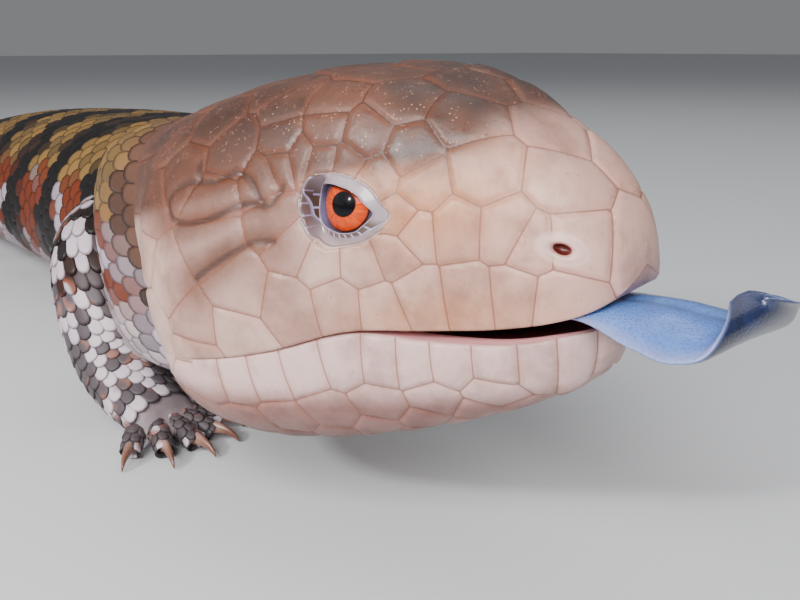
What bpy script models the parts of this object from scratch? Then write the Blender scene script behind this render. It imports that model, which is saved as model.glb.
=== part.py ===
# Blue tongued skink, a life-size still model that lies on the floor with its tongue out.
# World frame: +X runs forward along the trunk, +Y to the animal's left, +Z up, floor at Z = 0.
# The head has a frame of its own: origin at the snout's tip, x forward, y left, z up.
# Sizes are written in millimetres and become metres where a mesh is made.
import math

import bmesh
import bpy
import numpy as np
from mathutils import Matrix, Vector

MM = 0.001
GAP = 0.3

# The head's place: snout tip over the floor, nose up a little, turned to the animal's left
SNOUT_PLACE = (186.0, -27.0, 36.0)
HEAD_TURN = 10.0
HEAD_PITCH = 4.4
HEAD_ROLL = 5.9

# Upper head: guide lines, from the snout's tip back. "out" is the half width, "up" the height
HEAD_BACK = (0, 0.5, 2, 5, 10, 17, 25, 34, 44, 51, 57, 63)
HEAD_GUIDES = {
    "lip": {"out": (0, 2.8, 5.0, 7.3, 9.8, 12.5, 15.3, 18.4, 20.5, 19.2, 15.0, 12.2),
            "up": (-0.8, -2.6, -3.9, -4.8, -5.3, -5.4, -5.6, -7.8, -9.0, -9.3, -9.2, -9.0)},
    "cheek": {"out": (0, 3.1, 5.5, 7.8, 10.3, 12.9, 15.9, 19.1, 21.4, 20.0, 15.6, 12.8),
              "up": (-0.4, -0.5, -0.6, -0.4, 0, 0.2, 0, -0.8, -2.0, -2.4, -2.6, -2.6)},
    "brow": {"out": (0, 2.9, 5.1, 7.2, 9.4, 11.8, 14.2, 16.6, 18.7, 18.2, 14.9, 12.5),
             "up": (0.3, 1.4, 2.7, 4.4, 6.5, 8.1, 8.8, 8.8, 7.6, 6.8, 6.0, 5.2)},
    "canthus": {"out": (0, 1.9, 3.5, 4.8, 6.1, 8.4, 10.5, 11.0, 11.5, 11.6, 10.8, 9.8),
                "up": (0.8, 2.7, 5.1, 8.0, 11.4, 14.8, 16.5, 16.6, 15.6, 14.5, 13.2, 12.0)},
    "crown": {"out": (0,) * 12,
              "up": (0.8, 3.2, 5.8, 8.8, 12.4, 16.1, 18.2, 18.9, 18.2, 17.0, 15.8, 14.6)},
}

# Lower jaw: its guide lines start behind the snout's tip
JAW_BACK = (3, 4, 6, 10, 17, 25, 34, 44, 51, 57, 63)
JAW_GUIDES = {
    "lower lip": {"out": (0, 2.9, 6.3, 9.2, 12.0, 14.9, 18.0, 20.1, 18.9, 14.7, 11.9),
                  "up": (-7.0, -6.8, -6.8, -7.1, -6.8, -6.2, -8.1, -9.3, -9.6, -9.5, -9.3)},
    "jaw side": {"out": (0, 2.4, 5.9, 8.9, 11.6, 14.4, 17.4, 19.2, 17.9, 14.3, 11.7),
                 "up": (-7.6, -8.6, -9.5, -10.9, -11.9, -13.0, -14.2, -14.7, -14.5, -14.0, -13.0)},
    "jaw under": {"out": (0, 1.3, 3.8, 5.9, 7.9, 10.0, 12.0, 13.4, 13.0, 11.2, 9.6),
                  "up": (-8.2, -9.9, -12.2, -13.8, -16.0, -17.9, -19.5, -20.1, -19.4, -18.4, -17.2)},
    "throat": {"out": (0,) * 11,
               "up": (-8.2, -10.0, -12.6, -14.3, -16.8, -18.8, -20.6, -21.1, -20.4, -19.2, -18.0)},
}
PALATE_DEPTH = 2.2
JAW_BASIN_DEPTH = 3.0
MOUTH_CORNER = 44.0
MOUTH_FADE = 6.0

# Head shields: distance back, distance out from the middle and height of each one's centre.
# Those away from the middle are mirrored to the other side
SHIELD_RAISE = 0.3
SHIELD_SLOPE = 0.8
SHIELD_MERGE = 0.22
HEAD_SHIELDS = {
    "rostral": ((0.2, 0, 0.8),),
    "nasals": ((4.2, 5.6, 2.1), (4.7, 4.7, 7.7), (6.4, 8.4, 2.4)),
    "top, from front to back": ((8.6, 0, 11.5), (17.5, 0, 16.3), (26.5, 4.4, 18.0), (33.5, 0, 18.9),
                                (37.0, 7.4, 17.2), (43.0, 3.0, 17.8), (50.5, 4.0, 16.6), (58.0, 4.0, 15.2)),
    "prefrontals": ((10.8, 8.6, 9.2), (13.9, 6.3, 14.0)),
    "loreals": ((8.4, 9.2, 3.8), (12.7, 11.0, 4.3), (16.6, 12.5, 4.3)),
    "before the eye": ((16.1, 11.4, 8.3), (17.7, 11.0, 11.2), (17.9, 12.7, 5.6)),
    "over the eye": ((20.0, 8.0, 15.6), (21.8, 11.8, 13.0), (27.0, 10.2, 16.4), (26.6, 12.5, 13.8),
                     (31.4, 13.8, 13.2), (32.5, 10.6, 16.2)),
    "brow": ((19.7, 13.1, 9.7), (23.1, 13.7, 10.9), (26.3, 13.8, 11.1), (28.8, 14.1, 11.7),
             (31.0, 15.0, 11.0)),
    "under the eye": ((25.9, 16.1, 1.9), (21.8, 14.6, 1.5), (18.6, 13.4, 2.4)),
    "behind the eye": ((30.7, 16.8, 6.1), (28.6, 16.8, 3.5), (32.8, 15.6, 9.8)),
    "temporals": ((37.9, 15.2, 12.3), (44.9, 16.7, 10.6), (38.7, 17.9, 8.0), (38.2, 19.3, 4.3),
                  (34.9, 19.3, -0.7), (45.2, 21.2, -0.7), (42.0, 21.1, -5.0), (43.5, 11.8, 15.2),
                  (50.5, 12.6, 13.4), (50.0, 18.2, 7.4), (51.0, 19.8, 1.0), (50.0, 20.0, -4.6),
                  (57.5, 14.0, 9.0), (57.5, 16.6, 2.0), (57.0, 16.8, -5.0), (57.5, 9.6, 13.4)),
    "upper lip": ((4.8, 7.5, -2.6), (8.0, 9.2, -1.8), (12.0, 11.0, -1.7), (16.6, 12.7, -1.8),
                  (20.6, 14.1, -2.9), (24.6, 15.6, -2.4), (29.9, 17.6, -2.6), (36.2, 19.4, -6.0),
                  (42.5, 20.6, -8.6)),
}
JAW_SHIELDS = {
    "mental": ((4.0, 0, -9.0), (8.5, 0, -13.0)),
    "lower lip": ((5.6, 4.6, -9.0), (7.6, 7.0, -9.0), (10.8, 9.6, -8.9), (15.0, 11.4, -8.8),
                  (18.6, 12.6, -8.8), (21.8, 13.7, -8.6), (25.6, 15.1, -8.4), (30.2, 16.9, -9.2),
                  (34.6, 18.2, -10.0), (38.4, 19.2, -10.4), (42.4, 20.0, -10.4)),
}
CHIN_ROWS = ((0.36, 8, 0.0), (0.52, 8, 0.5), (0.68, 9, 0.0), (0.84, 9, 0.5), (1.0, 9, 0.0))
CHIN_FIRST = 12.0
CHIN_LENGTH = 5.6
HEAD_STATIONS = 26
JAW_STATIONS = 18

# Eye, lids, nostril and ear, on the right side; the left side mirrors them
EYE_CENTRE = (-23.3, -10.5, 6.2)
EYE_RADIUS = 4.6
EYE_LOOK = (0.12, -0.97, 0.2)
LID_RADIUS = 5.7
LID_APERTURE = (4.3, 2.9)
NOSTRIL_PLACE = (-3.8, -7.4, 2.3)
NOSTRIL_SIZE = (1.0, 0.6)
NOSTRIL_DEPTH = 2.2
EAR_PLACE = (-56.5, -18.6, -2.0)
EAR_SIZE = (1.8, 2.7)
EAR_DEPTH = 3.0

# Tongue: its middle line, half widths and half thicknesses, in the head's frame
TONGUE_LINE = ((-34, 0, -8.1), (-24, 0, -7.2), (-13, 0, -6.6), (-3.5, 0, -5.2), (2.5, 0, -5.5),
               (6.5, 0, -6.1), (9.4, 0, -6.0), (10.9, 0, -4.7), (11.4, 0, -2.8))
TONGUE_HALF_WIDTH = (4.8, 5.4, 5.8, 6.1, 7.3, 7.8, 7.2, 5.2, 2.0)
TONGUE_DROOP = (0, 0, 0, 0.2, 1.5, 1.6, 0.8, 0, 0)
TONGUE_HALF_THICKNESS = (1.1, 1.3, 1.1, 0.9, 1.2, 1.2, 1.0, 0.7, 0.4)

# Neck, trunk and tail: the heading of the middle line, by distance behind the snout
LINE_BACK = (55, 63, 70, 80, 90, 100, 112, 130, 150, 170, 210, 250, 290, 330, 370, 410, 450, 488)
LINE_HEADING = (10, 10, -7, -33, -45, -44, -33, -18, -10, -7, 0, 6, 12, 16, 13, 2, -12, -24)
LINE_STEP = 0.5
NAPE_MIDDLE = -2.0

# Sections, by distance behind the snout: half width, top, underside and height of the widest place
BODY_BACK = (75, 90, 102, 130, 170, 212, 250, 282, 302, 330, 370, 410, 450, 475, 488)
BODY_HALF_WIDTH = (11.8, 15.0, 19.0, 25.5, 30, 31, 28, 21.5, 17.5, 15, 12.2, 9.2, 5.8, 3.0, 0.9)
BODY_TOP = (43.0, 40.2, 38.6, 38.2, 39, 38.4, 36.5, 32.5, 29.5, 26, 21.8, 16.8, 10.6, 5.6, 1.9)
BODY_UNDER = (9.0, 2.0, -1.2, -1.6, -1.8, -1.8, -1.6, -1.2, -0.8, -0.8, -0.6, -0.5, -0.4, -0.3, 0.1)
WIDEST_SHARE = 0.42
BODY_SQUARENESS = 0.86
NECK_END = 97.0
TORSO_SPLITS = (97.0, 150.0, 225.0, 300.0)
TAIL_SPLITS = (300.0, 365.0, 430.0, 488.0)

# Legs: joints given as distance back, side distance from the middle line, and height
LEGS = {
    "foreleg": {
        "right": ((96, 11.5, 23), (81.5, 13.6, 23.5), (75.5, 10.5, 9.0), (69, 6.0, 4.0)),
        "left": ((102, 13, 20), (120, 34, 17), (112, 45, 6.8), (103, 50, 3.6)),
        "radii": (8.6, 7.2, 5.9, 4.9), "palm": (5.6, 3.1), "toes": (4.6, 5.6, 6.4, 6.0, 4.6),
    },
    "hindleg": {
        "right": ((283, 12, 17), (271, 35, 18), (288, 45, 7.0), (279, 51, 3.8)),
        "left": ((283, 12, 17), (268, 33, 18), (285, 43, 7.0), (277, 50, 3.8)),
        "radii": (10.0, 7.4, 5.2, 4.6), "palm": (5.8, 3.1), "toes": (6.0, 8.5, 10.5, 11.5, 8.0),
    },
}
TOE_SPREAD = (-52, -26, -2, 22, 52)
TOE_RADIUS = 1.75
CLAW_LENGTH = 4.6
CLAW_RADIUS = 0.95

# Colours from the photograph: base colour, roughness
FINISHES = {
    "scaly_skin": ((0.42, 0.24, 0.14, 1.0), 0.45),
    "head_skin": ((0.55, 0.38, 0.31, 1.0), 0.42),
    "throat_skin": ((0.76, 0.62, 0.60, 1.0), 0.45),
    "tongue_blue": ((0.22, 0.38, 0.72, 1.0), 0.25),
    "eye_orange": ((0.66, 0.14, 0.03, 1.0), 0.08),
    "leg_skin": ((0.50, 0.44, 0.46, 1.0), 0.45),
}


# Smooth lines and meshes

def slopes(places, values):
    steps = np.diff(places)
    rises = np.diff(values) / steps
    tilt = np.empty(len(values))
    tilt[1:-1] = (steps[1:] * rises[:-1] + steps[:-1] * rises[1:]) / (steps[1:] + steps[:-1])
    tilt[0] = 2 * rises[0] - tilt[1]
    tilt[-1] = 2 * rises[-1] - tilt[-2]
    return tilt


def follow(places, values, wanted):
    places = np.asarray(places, float)
    values = np.asarray(values, float)
    wanted = np.clip(np.asarray(wanted, float), places[0], places[-1])
    tilt = slopes(places, values)
    span = np.clip(np.searchsorted(places, wanted, side="right") - 1, 0, len(places) - 2)
    width = places[span + 1] - places[span]
    part = (wanted - places[span]) / width
    start, end = values[span], values[span + 1]
    return ((2 * part**3 - 3 * part**2 + 1) * start + (3 * part**2 - 2 * part**3) * end
            + (part**3 - 2 * part**2 + part) * width * tilt[span]
            + (part**3 - part**2) * width * tilt[span + 1])


def ease(value, low, high):
    part = np.clip((value - low) / (high - low), 0.0, 1.0)
    return part * part * (3 - 2 * part)


def mesh_object(name, points, faces):
    mesh = bpy.data.meshes.new(name)
    mesh.from_pydata([tuple(point) for point in points], [], faces)
    mesh.update()
    body = bpy.data.objects.new(name, mesh)
    bpy.context.scene.collection.objects.link(body)
    return body


def loft(name, rings):
    # Closed rings of equal counts, in metres, with both ends closed by a fan
    count = len(rings[0])
    points = np.concatenate(rings)
    last = len(points) - count
    faces = []
    for ring in range(len(rings) - 1):
        low, high = ring * count, (ring + 1) * count
        for step in range(count):
            after = (step + 1) % count
            faces.append((low + step, low + after, high + after, high + step))
    points = np.vstack([points, rings[0].mean(axis=0), rings[-1].mean(axis=0)])
    for step in range(count):
        after = (step + 1) % count
        faces.append((after, step, len(points) - 2))
        faces.append((last + step, last + after, len(points) - 1))
    body = mesh_object(name, points, faces)
    face_outwards(body)
    return body


def face_outwards(body):
    shape = bmesh.new()
    shape.from_mesh(body.data)
    bmesh.ops.recalc_face_normals(shape, faces=shape.faces)
    if shape.calc_volume(signed=True) < 0:
        bmesh.ops.reverse_faces(shape, faces=shape.faces)
    shape.to_mesh(body.data)
    shape.free()


def apply_modifier(body, modifier):
    with bpy.context.temp_override(object=body, active_object=body):
        bpy.ops.object.modifier_apply(modifier=modifier.name)


def combine(body, others, action, solver="EXACT"):
    # One Boolean with a collection of closed pieces, which are then removed
    group = bpy.data.collections.new(body.name + "_pieces")
    for other in others:
        group.objects.link(other)
    modifier = body.modifiers.new(action.lower(), "BOOLEAN")
    modifier.operation = action
    modifier.operand_type = "COLLECTION"
    modifier.collection = group
    modifier.solver = solver
    apply_modifier(body, modifier)
    for other in others:
        bpy.data.objects.remove(other)
    bpy.data.collections.remove(group)


def keep_largest(body):
    shape = bmesh.new()
    shape.from_mesh(body.data)
    bmesh.ops.remove_doubles(shape, verts=shape.verts, dist=0.00001)
    waiting = set(shape.verts)
    surfaces = []
    while waiting:
        start = waiting.pop()
        surface = {start}
        edge = [start]
        while edge:
            for link in edge.pop().link_edges:
                for vertex in link.verts:
                    if vertex in waiting:
                        waiting.discard(vertex)
                        surface.add(vertex)
                        edge.append(vertex)
        surfaces.append(surface)
    largest = max(surfaces, key=len)
    scraps = [vertex for vertex in shape.verts if vertex not in largest]
    bmesh.ops.delete(shape, geom=scraps, context="VERTS")
    bmesh.ops.triangulate(shape, faces=shape.faces)
    bmesh.ops.dissolve_degenerate(shape, edges=shape.edges, dist=0.00001)
    shape.to_mesh(body.data)
    shape.free()


def finish(body, finish_name, group):
    colour, roughness = FINISHES[finish_name]
    material = bpy.data.materials.new(body.name + "_" + finish_name)
    material.use_nodes = True
    shader = material.node_tree.nodes["Principled BSDF"]
    shader.inputs["Base Color"].default_value = colour
    shader.inputs["Roughness"].default_value = roughness
    shader.inputs["Metallic"].default_value = 0.0
    body.data.materials.clear()
    body.data.materials.append(material)
    body.data.shade_smooth()
    body.data.set_sharp_from_angle(angle=math.radians(50))
    for old in list(body.users_collection):
        old.objects.unlink(body)
    group.objects.link(body)


# The head's frame

def head_frame():
    turn = Matrix.Rotation(math.radians(HEAD_TURN), 4, "Z")
    pitch = Matrix.Rotation(math.radians(-HEAD_PITCH), 4, "Y")
    roll = Matrix.Rotation(math.radians(HEAD_ROLL), 4, "X")
    return Matrix.Translation(SNOUT_PLACE) @ turn @ pitch @ roll


def head_to_world(points):
    frame = np.array(head_frame())
    return np.asarray(points, float).reshape(-1, 3) @ frame[:3, :3].T + frame[:3, 3]


def place_on_head(body):
    body.data.transform(Matrix.Scale(MM, 4) @ head_frame())


def guide_points(guides, stations, back):
    # The guides open out from the tip as a round nose does, so they follow the root of the distance
    roots = np.sqrt(np.array(stations, float) - stations[0])
    wanted = math.sqrt(max(back - stations[0], 0.0))
    return [(float(follow(roots, guide["out"], wanted)), float(follow(roots, guide["up"], wanted)))
            for guide in guides.values()]


def arch(half, steps):
    # A smooth curve over both sides through the guide points of one side, outermost first
    both = [(-out, up) for out, up in half] + [(out, up) for out, up in reversed(half[:-1])]
    both = np.array(both)
    lengths = np.maximum(np.linalg.norm(np.diff(both, axis=0), axis=1), 0.02)
    places = np.concatenate([[0], np.cumsum(lengths)])
    wanted = np.concatenate([np.linspace(places[i], places[i + 1], steps, endpoint=False)
                             for i in range(len(lengths))] + [[places[-1]]])
    return np.stack([follow(places, both[:, 0], wanted), follow(places, both[:, 1], wanted)], axis=1)


def mouth_floor(edge, back, depth, steps):
    # The inner points between the two lips, from the last edge point back to the first
    fade = 1 - ease(back, MOUTH_CORNER - MOUTH_FADE, MOUTH_CORNER)
    fade *= ease(back, 1.0, 7.0)
    out, up = edge[-1]
    shares = np.linspace(1, -1, steps + 2)[1:-1]
    dip = depth * fade * (1 - shares**4)
    return np.stack([out * shares, up + dip], axis=1)


def head_ring(back, steps=4):
    over = arch(guide_points(HEAD_GUIDES, HEAD_BACK, back), steps)
    under = mouth_floor(over, back, PALATE_DEPTH, 5)
    section = np.vstack([over, under])
    return np.column_stack([np.full(len(section), -back), section])


def jaw_ring(back, steps=4):
    below = arch(guide_points(JAW_GUIDES, JAW_BACK, back), steps)
    above = mouth_floor(below, back, -JAW_BASIN_DEPTH, 5)
    section = np.vstack([below, above])
    return np.column_stack([np.full(len(section), -back), section])


def head_stations(first, last, count):
    share = np.arange(1, count + 1) / count
    return first + (last - first) * share**1.6


# Shields: every face is parted where the nearest shield changes, and each shield swells a little

def both_sides(shields):
    centres = []
    for group in shields.values():
        for back, out, up in group:
            centres.append((-back, -out, up))
            if out > 0:
                centres.append((-back, out, up))
    return centres


def chin_centres():
    centres = []
    for share, count, shift in CHIN_ROWS:
        for number in range(count):
            back = CHIN_FIRST + CHIN_LENGTH * (number + shift)
            if back > JAW_BACK[-1]:
                continue
            half = arch(guide_points(JAW_GUIDES, JAW_BACK, back), 8)
            half = half[:len(half) // 2 + 1]
            walk = np.concatenate([[0], np.cumsum(np.linalg.norm(np.diff(half, axis=0), axis=1))])
            out, up = (np.interp(share * walk[-1], walk, half[:, k]) for k in (0, 1))
            centres.append((-back, out, up))
            if share < 1:
                centres.append((-back, -out, up))
    return centres


def clip(polygon, middle, away):
    # The part of a polygon on the near side of a plane
    heights = (polygon - middle) @ away
    kept = []
    for number, point in enumerate(polygon):
        after = (number + 1) % len(polygon)
        if heights[number] <= 0:
            kept.append(point)
        if (heights[number] <= 0) != (heights[after] <= 0):
            part = heights[number] / (heights[number] - heights[after])
            kept.append(point + (polygon[after] - point) * part)
    return np.array(kept)


def split_edges(polygon, centres, near):
    # The polygon with a point added wherever the nearest shield changes along its edges
    points = []
    for number, start in enumerate(polygon):
        along = polygon[(number + 1) % len(polygon)] - start
        shares = []
        for first in near:
            for second in near[near > first]:
                across = centres[second] - centres[first]
                slope = along @ across
                if abs(slope) < 1e-12:
                    continue
                share = ((centres[second] + centres[first]) / 2 - start) @ across / slope
                if not 0 < share < 1:
                    continue
                apart = np.linalg.norm(centres[near] - start - along * share, axis=1)
                if np.linalg.norm(centres[first] - start - along * share) < apart.min() + 1e-7:
                    shares.append(share)
        points.append(start)
        points.extend(start + along * share for share in sorted(shares))
    return np.array(points)


def seam_distance(point, centres):
    apart = np.linalg.norm(centres - point, axis=1)
    nearest = int(np.argmin(apart))
    span = np.linalg.norm(centres - centres[nearest], axis=1)
    span[nearest] = 1.0
    reach = (apart**2 - apart[nearest]**2) / (2 * span)
    reach[nearest] = np.inf
    return float(reach.min())


def raise_shields(body, centres, is_skin):
    centres = np.array(centres, float)
    mesh = body.data
    start = bmesh.new()
    start.from_mesh(mesh)
    bmesh.ops.triangulate(start, faces=start.faces)
    start.to_mesh(mesh)
    start.free()
    corners = np.array([tuple(vertex.co) for vertex in mesh.vertices])
    points, faces = [], []
    for face in mesh.polygons:
        polygon = corners[list(face.vertices)]
        middle = polygon.mean(axis=0)
        radius = np.linalg.norm(polygon - middle, axis=1).max()
        apart = np.linalg.norm(centres - middle, axis=1)
        near = np.where(apart < apart.min() + 2 * radius + 1e-6)[0]
        pieces = [split_edges(polygon, centres, near)]
        if is_skin(middle, np.array(face.normal)):
            pieces = []
            for own in near:
                piece = polygon
                for other in near:
                    if other != own and len(piece) > 2:
                        away = centres[other] - centres[own]
                        piece = clip(piece, (centres[other] + centres[own]) / 2, away)
                if len(piece) > 2:
                    pieces.append(piece)
        for piece in pieces:
            faces.append(tuple(range(len(points), len(points) + len(piece))))
            points.extend(piece)
    parted = bpy.data.meshes.new(body.name + "_parted")
    parted.from_pydata([tuple(point) for point in points], [], faces)
    shape = bmesh.new()
    shape.from_mesh(parted)
    bmesh.ops.remove_doubles(shape, verts=shape.verts, dist=0.0005)
    bmesh.ops.dissolve_degenerate(shape, edges=shape.edges, dist=SHIELD_MERGE)
    bmesh.ops.recalc_face_normals(shape, faces=shape.faces)
    shape.normal_update()
    lifts = []
    for vertex in shape.verts:
        place, way = np.array(vertex.co), np.array(vertex.normal)
        lift = 0.0
        if all(is_skin(np.array(face.calc_center_median()), np.array(face.normal))
               for face in vertex.link_faces):
            lift = SHIELD_RAISE * min(1.0, seam_distance(place, centres) / SHIELD_SLOPE)
        lifts.append(way * lift)
    for vertex, lift in zip(shape.verts, lifts):
        vertex.co = Vector(np.array(vertex.co) + lift)
    bmesh.ops.triangulate(shape, faces=shape.faces)
    shape.to_mesh(mesh)
    shape.free()
    bpy.data.meshes.remove(parted)
    face_outwards(body)


# The body's frame: a middle line in plan with headings, and sections across it

def middle_line():
    # The headings added up from inside the head to the tail's tip
    backs = np.arange(LINE_BACK[0], LINE_BACK[-1] + LINE_STEP, LINE_STEP)
    middles = np.radians(follow(LINE_BACK, LINE_HEADING, backs[:-1] + LINE_STEP / 2))
    steps = -LINE_STEP * np.stack([np.cos(middles), np.sin(middles)], axis=1)
    start = head_to_world([(-LINE_BACK[0], 0, NAPE_MIDDLE)])[:, :2]
    return start + np.vstack([[0, 0], np.cumsum(steps, axis=0)]), backs


LINE, LINE_PLACES = middle_line()


def line_place(back):
    place = np.array([np.interp(back, LINE_PLACES, LINE[:, k]) for k in (0, 1)])
    heading = math.radians(float(follow(LINE_BACK, LINE_HEADING, back)))
    return place, np.array([math.cos(heading), math.sin(heading)])


def body_place(back, side, height):
    # A world point from distance back, distance to the right of the middle line, and height
    place, forward = line_place(back)
    right = np.array([forward[1], -forward[0]])
    flat = place + right * side
    return np.array([flat[0], flat[1], height])


def body_section(back, count, swell=0.0):
    half = float(follow(BODY_BACK, BODY_HALF_WIDTH, back)) + swell
    top = float(follow(BODY_BACK, BODY_TOP, back)) + swell
    under = float(follow(BODY_BACK, BODY_UNDER, back)) - swell
    middle = under + (top - under) * WIDEST_SHARE
    angle = np.linspace(0, 2 * math.pi, count, endpoint=False)
    across = np.sign(np.cos(angle)) * np.abs(np.cos(angle))**BODY_SQUARENESS * half
    rise = np.where(np.sin(angle) > 0, top - middle, middle - under)
    up = middle + np.sign(np.sin(angle)) * np.abs(np.sin(angle))**BODY_SQUARENESS * rise
    return np.stack([across, up], axis=1)


def polar_reach(section, centre, angles):
    offset = section - centre
    turn = np.arctan2(offset[:, 1], offset[:, 0])
    order = np.argsort(turn)
    return np.interp(angles, turn[order], np.linalg.norm(offset, axis=1)[order], period=2 * math.pi)


def nape_outline(swell=0.0):
    # The outline of the back of the head and jaw together, as side distance and height
    back = HEAD_BACK[-1]
    over = arch(guide_points(HEAD_GUIDES, HEAD_BACK, back), 12)
    under = arch(guide_points(JAW_GUIDES, JAW_BACK, back), 12)[::-1]
    outline = np.vstack([over, under])
    centre = outline.mean(axis=0)
    away = outline - centre
    return outline + away / np.linalg.norm(away, axis=1)[:, None] * swell


def body_ring(back, count=36, swell=0.0):
    # Blends from the outline at the back of the head, tilted as the head is, to a level body section
    angles = np.linspace(-math.pi, math.pi, count, endpoint=False)
    blend = float(ease(back, HEAD_BACK[-1], NECK_END))
    section = body_section(max(back, BODY_BACK[0]), 240, swell)
    middle = section[:, 1].mean()
    reach = polar_reach(section, np.array([0, middle]), angles)
    if blend < 1:
        nape_reach = polar_reach(nape_outline(swell), np.array([0, NAPE_MIDDLE]), angles)
        reach = (1 - blend) * nape_reach + blend * reach
        middle = (1 - blend) * head_to_world([(-back, 0, NAPE_MIDDLE)])[0][2] + blend * middle
    flat, heading = line_place(back)
    pitch = (1 - blend) * math.radians(HEAD_PITCH)
    roll = (1 - blend) * math.radians(HEAD_ROLL)
    ahead = np.array([heading[0], heading[1], 0])
    side = np.array([-heading[1], heading[0], 0])
    rise = np.array([0, 0, math.cos(pitch)]) - ahead * math.sin(pitch)
    left = side * math.cos(roll) + rise * math.sin(roll)
    over = rise * math.cos(roll) - side * math.sin(roll)
    ring = (np.array([flat[0], flat[1], middle]) + np.outer(reach * np.cos(angles), left)
            + np.outer(reach * np.sin(angles), over))
    if swell == 0:
        ring[:, 2] = np.where(ring[:, 2] < 0.05, 0.0, ring[:, 2])
    return ring


def body_length(name, first, last, spacing, count=36):
    steps = max(2, int(round((last - first) / spacing)))
    stations = np.linspace(first + GAP / 2, last - GAP / 2, steps + 1)
    return loft(name, [body_ring(back, count) * MM for back in stations])


# Limbs

def tube_rings(line, half_width, half_height, stations, count, droop=None):
    # Rings across a smooth line through the given points, wide ways level, their edges drooping
    line = np.array(line, float)
    places = np.concatenate([[0], np.cumsum(np.linalg.norm(np.diff(line, axis=0), axis=1))])
    total = places[-1]
    rings = []
    for share in stations:
        at = share * total
        place = np.array([float(follow(places, line[:, k], at)) for k in range(3)])
        ahead = np.array([float(follow(places, line[:, k], min(at + 0.4, total))) for k in range(3)])
        behind = np.array([float(follow(places, line[:, k], max(at - 0.4, 0))) for k in range(3)])
        forward = (ahead - behind) / np.linalg.norm(ahead - behind)
        side = np.cross(forward, (0, 0, 1))
        side = side / np.linalg.norm(side)
        rise = np.cross(side, forward)
        wide = float(follow(places, half_width, at))
        high = float(follow(places, half_height, at))
        angle = np.linspace(0, 2 * math.pi, count, endpoint=False)
        ring = (place + np.outer(np.cos(angle) * wide, side) + np.outer(np.sin(angle) * high, rise))
        if droop:
            fall = float(follow(places, droop, at))
            ring -= np.outer(np.cos(angle)**2 * fall, rise)
        rings.append(ring)
    return rings


def tube(name, line, half_width, half_height, steps, count, droop=None):
    rings = tube_rings(line, half_width, half_height, np.linspace(0, 1, steps + 1), count, droop)
    return loft(name, [ring * MM for ring in rings])


def toe_pieces(wrist, palm_tip, palm, lengths, turn_side):
    # Five toes fan out from the palm's front, each with a curved claw at its tip
    forward = palm_tip - wrist
    forward[2] = 0
    forward /= np.linalg.norm(forward)
    right = np.array([forward[1], -forward[0], 0])
    pieces = []
    for spread, length in zip(TOE_SPREAD, lengths):
        angle = math.radians(spread * turn_side)
        way = forward * math.cos(angle) + right * math.sin(angle)
        root = palm_tip - forward * 2.2 + right * math.sin(angle) * palm[0] * 0.62
        root[2] = 2.9
        bend = root + way * length * 0.5
        bend[2] = 3.0
        tip = root + way * (length + 1.5)
        tip[2] = TOE_RADIUS * 0.72
        line = (root, bend, tip)
        radii = (TOE_RADIUS, TOE_RADIUS * 0.92, TOE_RADIUS * 0.8)
        pieces.append(tube("toe", line, radii, radii, steps=3, count=8))
        claw_root = tip - way * 1.6
        claw_root[2] = 1.9
        claw_arch = tip + way * CLAW_LENGTH * 0.35
        claw_arch[2] = 1.9
        claw_tip = tip + way * CLAW_LENGTH * 0.85
        claw_tip[2] = 0.35
        claw_radii = (CLAW_RADIUS, CLAW_RADIUS * 0.85, 0.22)
        pieces.append(tube("claw", (claw_root, claw_arch, claw_tip), claw_radii, claw_radii,
                           steps=3, count=6))
    return pieces


def line_frame(line, share):
    # The place and the direction of a smooth line at a share of its length
    line = np.array(line, float)
    places = np.concatenate([[0], np.cumsum(np.linalg.norm(np.diff(line, axis=0), axis=1))])
    at = share * places[-1]
    ahead, place, behind = (np.array([float(follow(places, line[:, k], at + shift)) for k in range(3)])
                            for shift in (0.4, 0.0, -0.4))
    return place, (ahead - behind) / np.linalg.norm(ahead - behind)


def keep_side(body, place, normal):
    # Cuts a closed body on a plane, keeps what lies ahead of it and closes the cut
    shape = bmesh.new()
    shape.from_mesh(body.data)
    whole = shape.verts[:] + shape.edges[:] + shape.faces[:]
    cut = bmesh.ops.bisect_plane(shape, geom=whole, dist=0.000001, plane_co=Vector(place) * MM,
                                 plane_no=Vector(normal), clear_inner=True)
    rim = [piece for piece in cut["geom_cut"] if isinstance(piece, bmesh.types.BMEdge)]
    bmesh.ops.holes_fill(shape, edges=rim, sides=0)
    bmesh.ops.recalc_face_normals(shape, faces=shape.faces)
    shape.to_mesh(body.data)
    shape.free()


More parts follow.
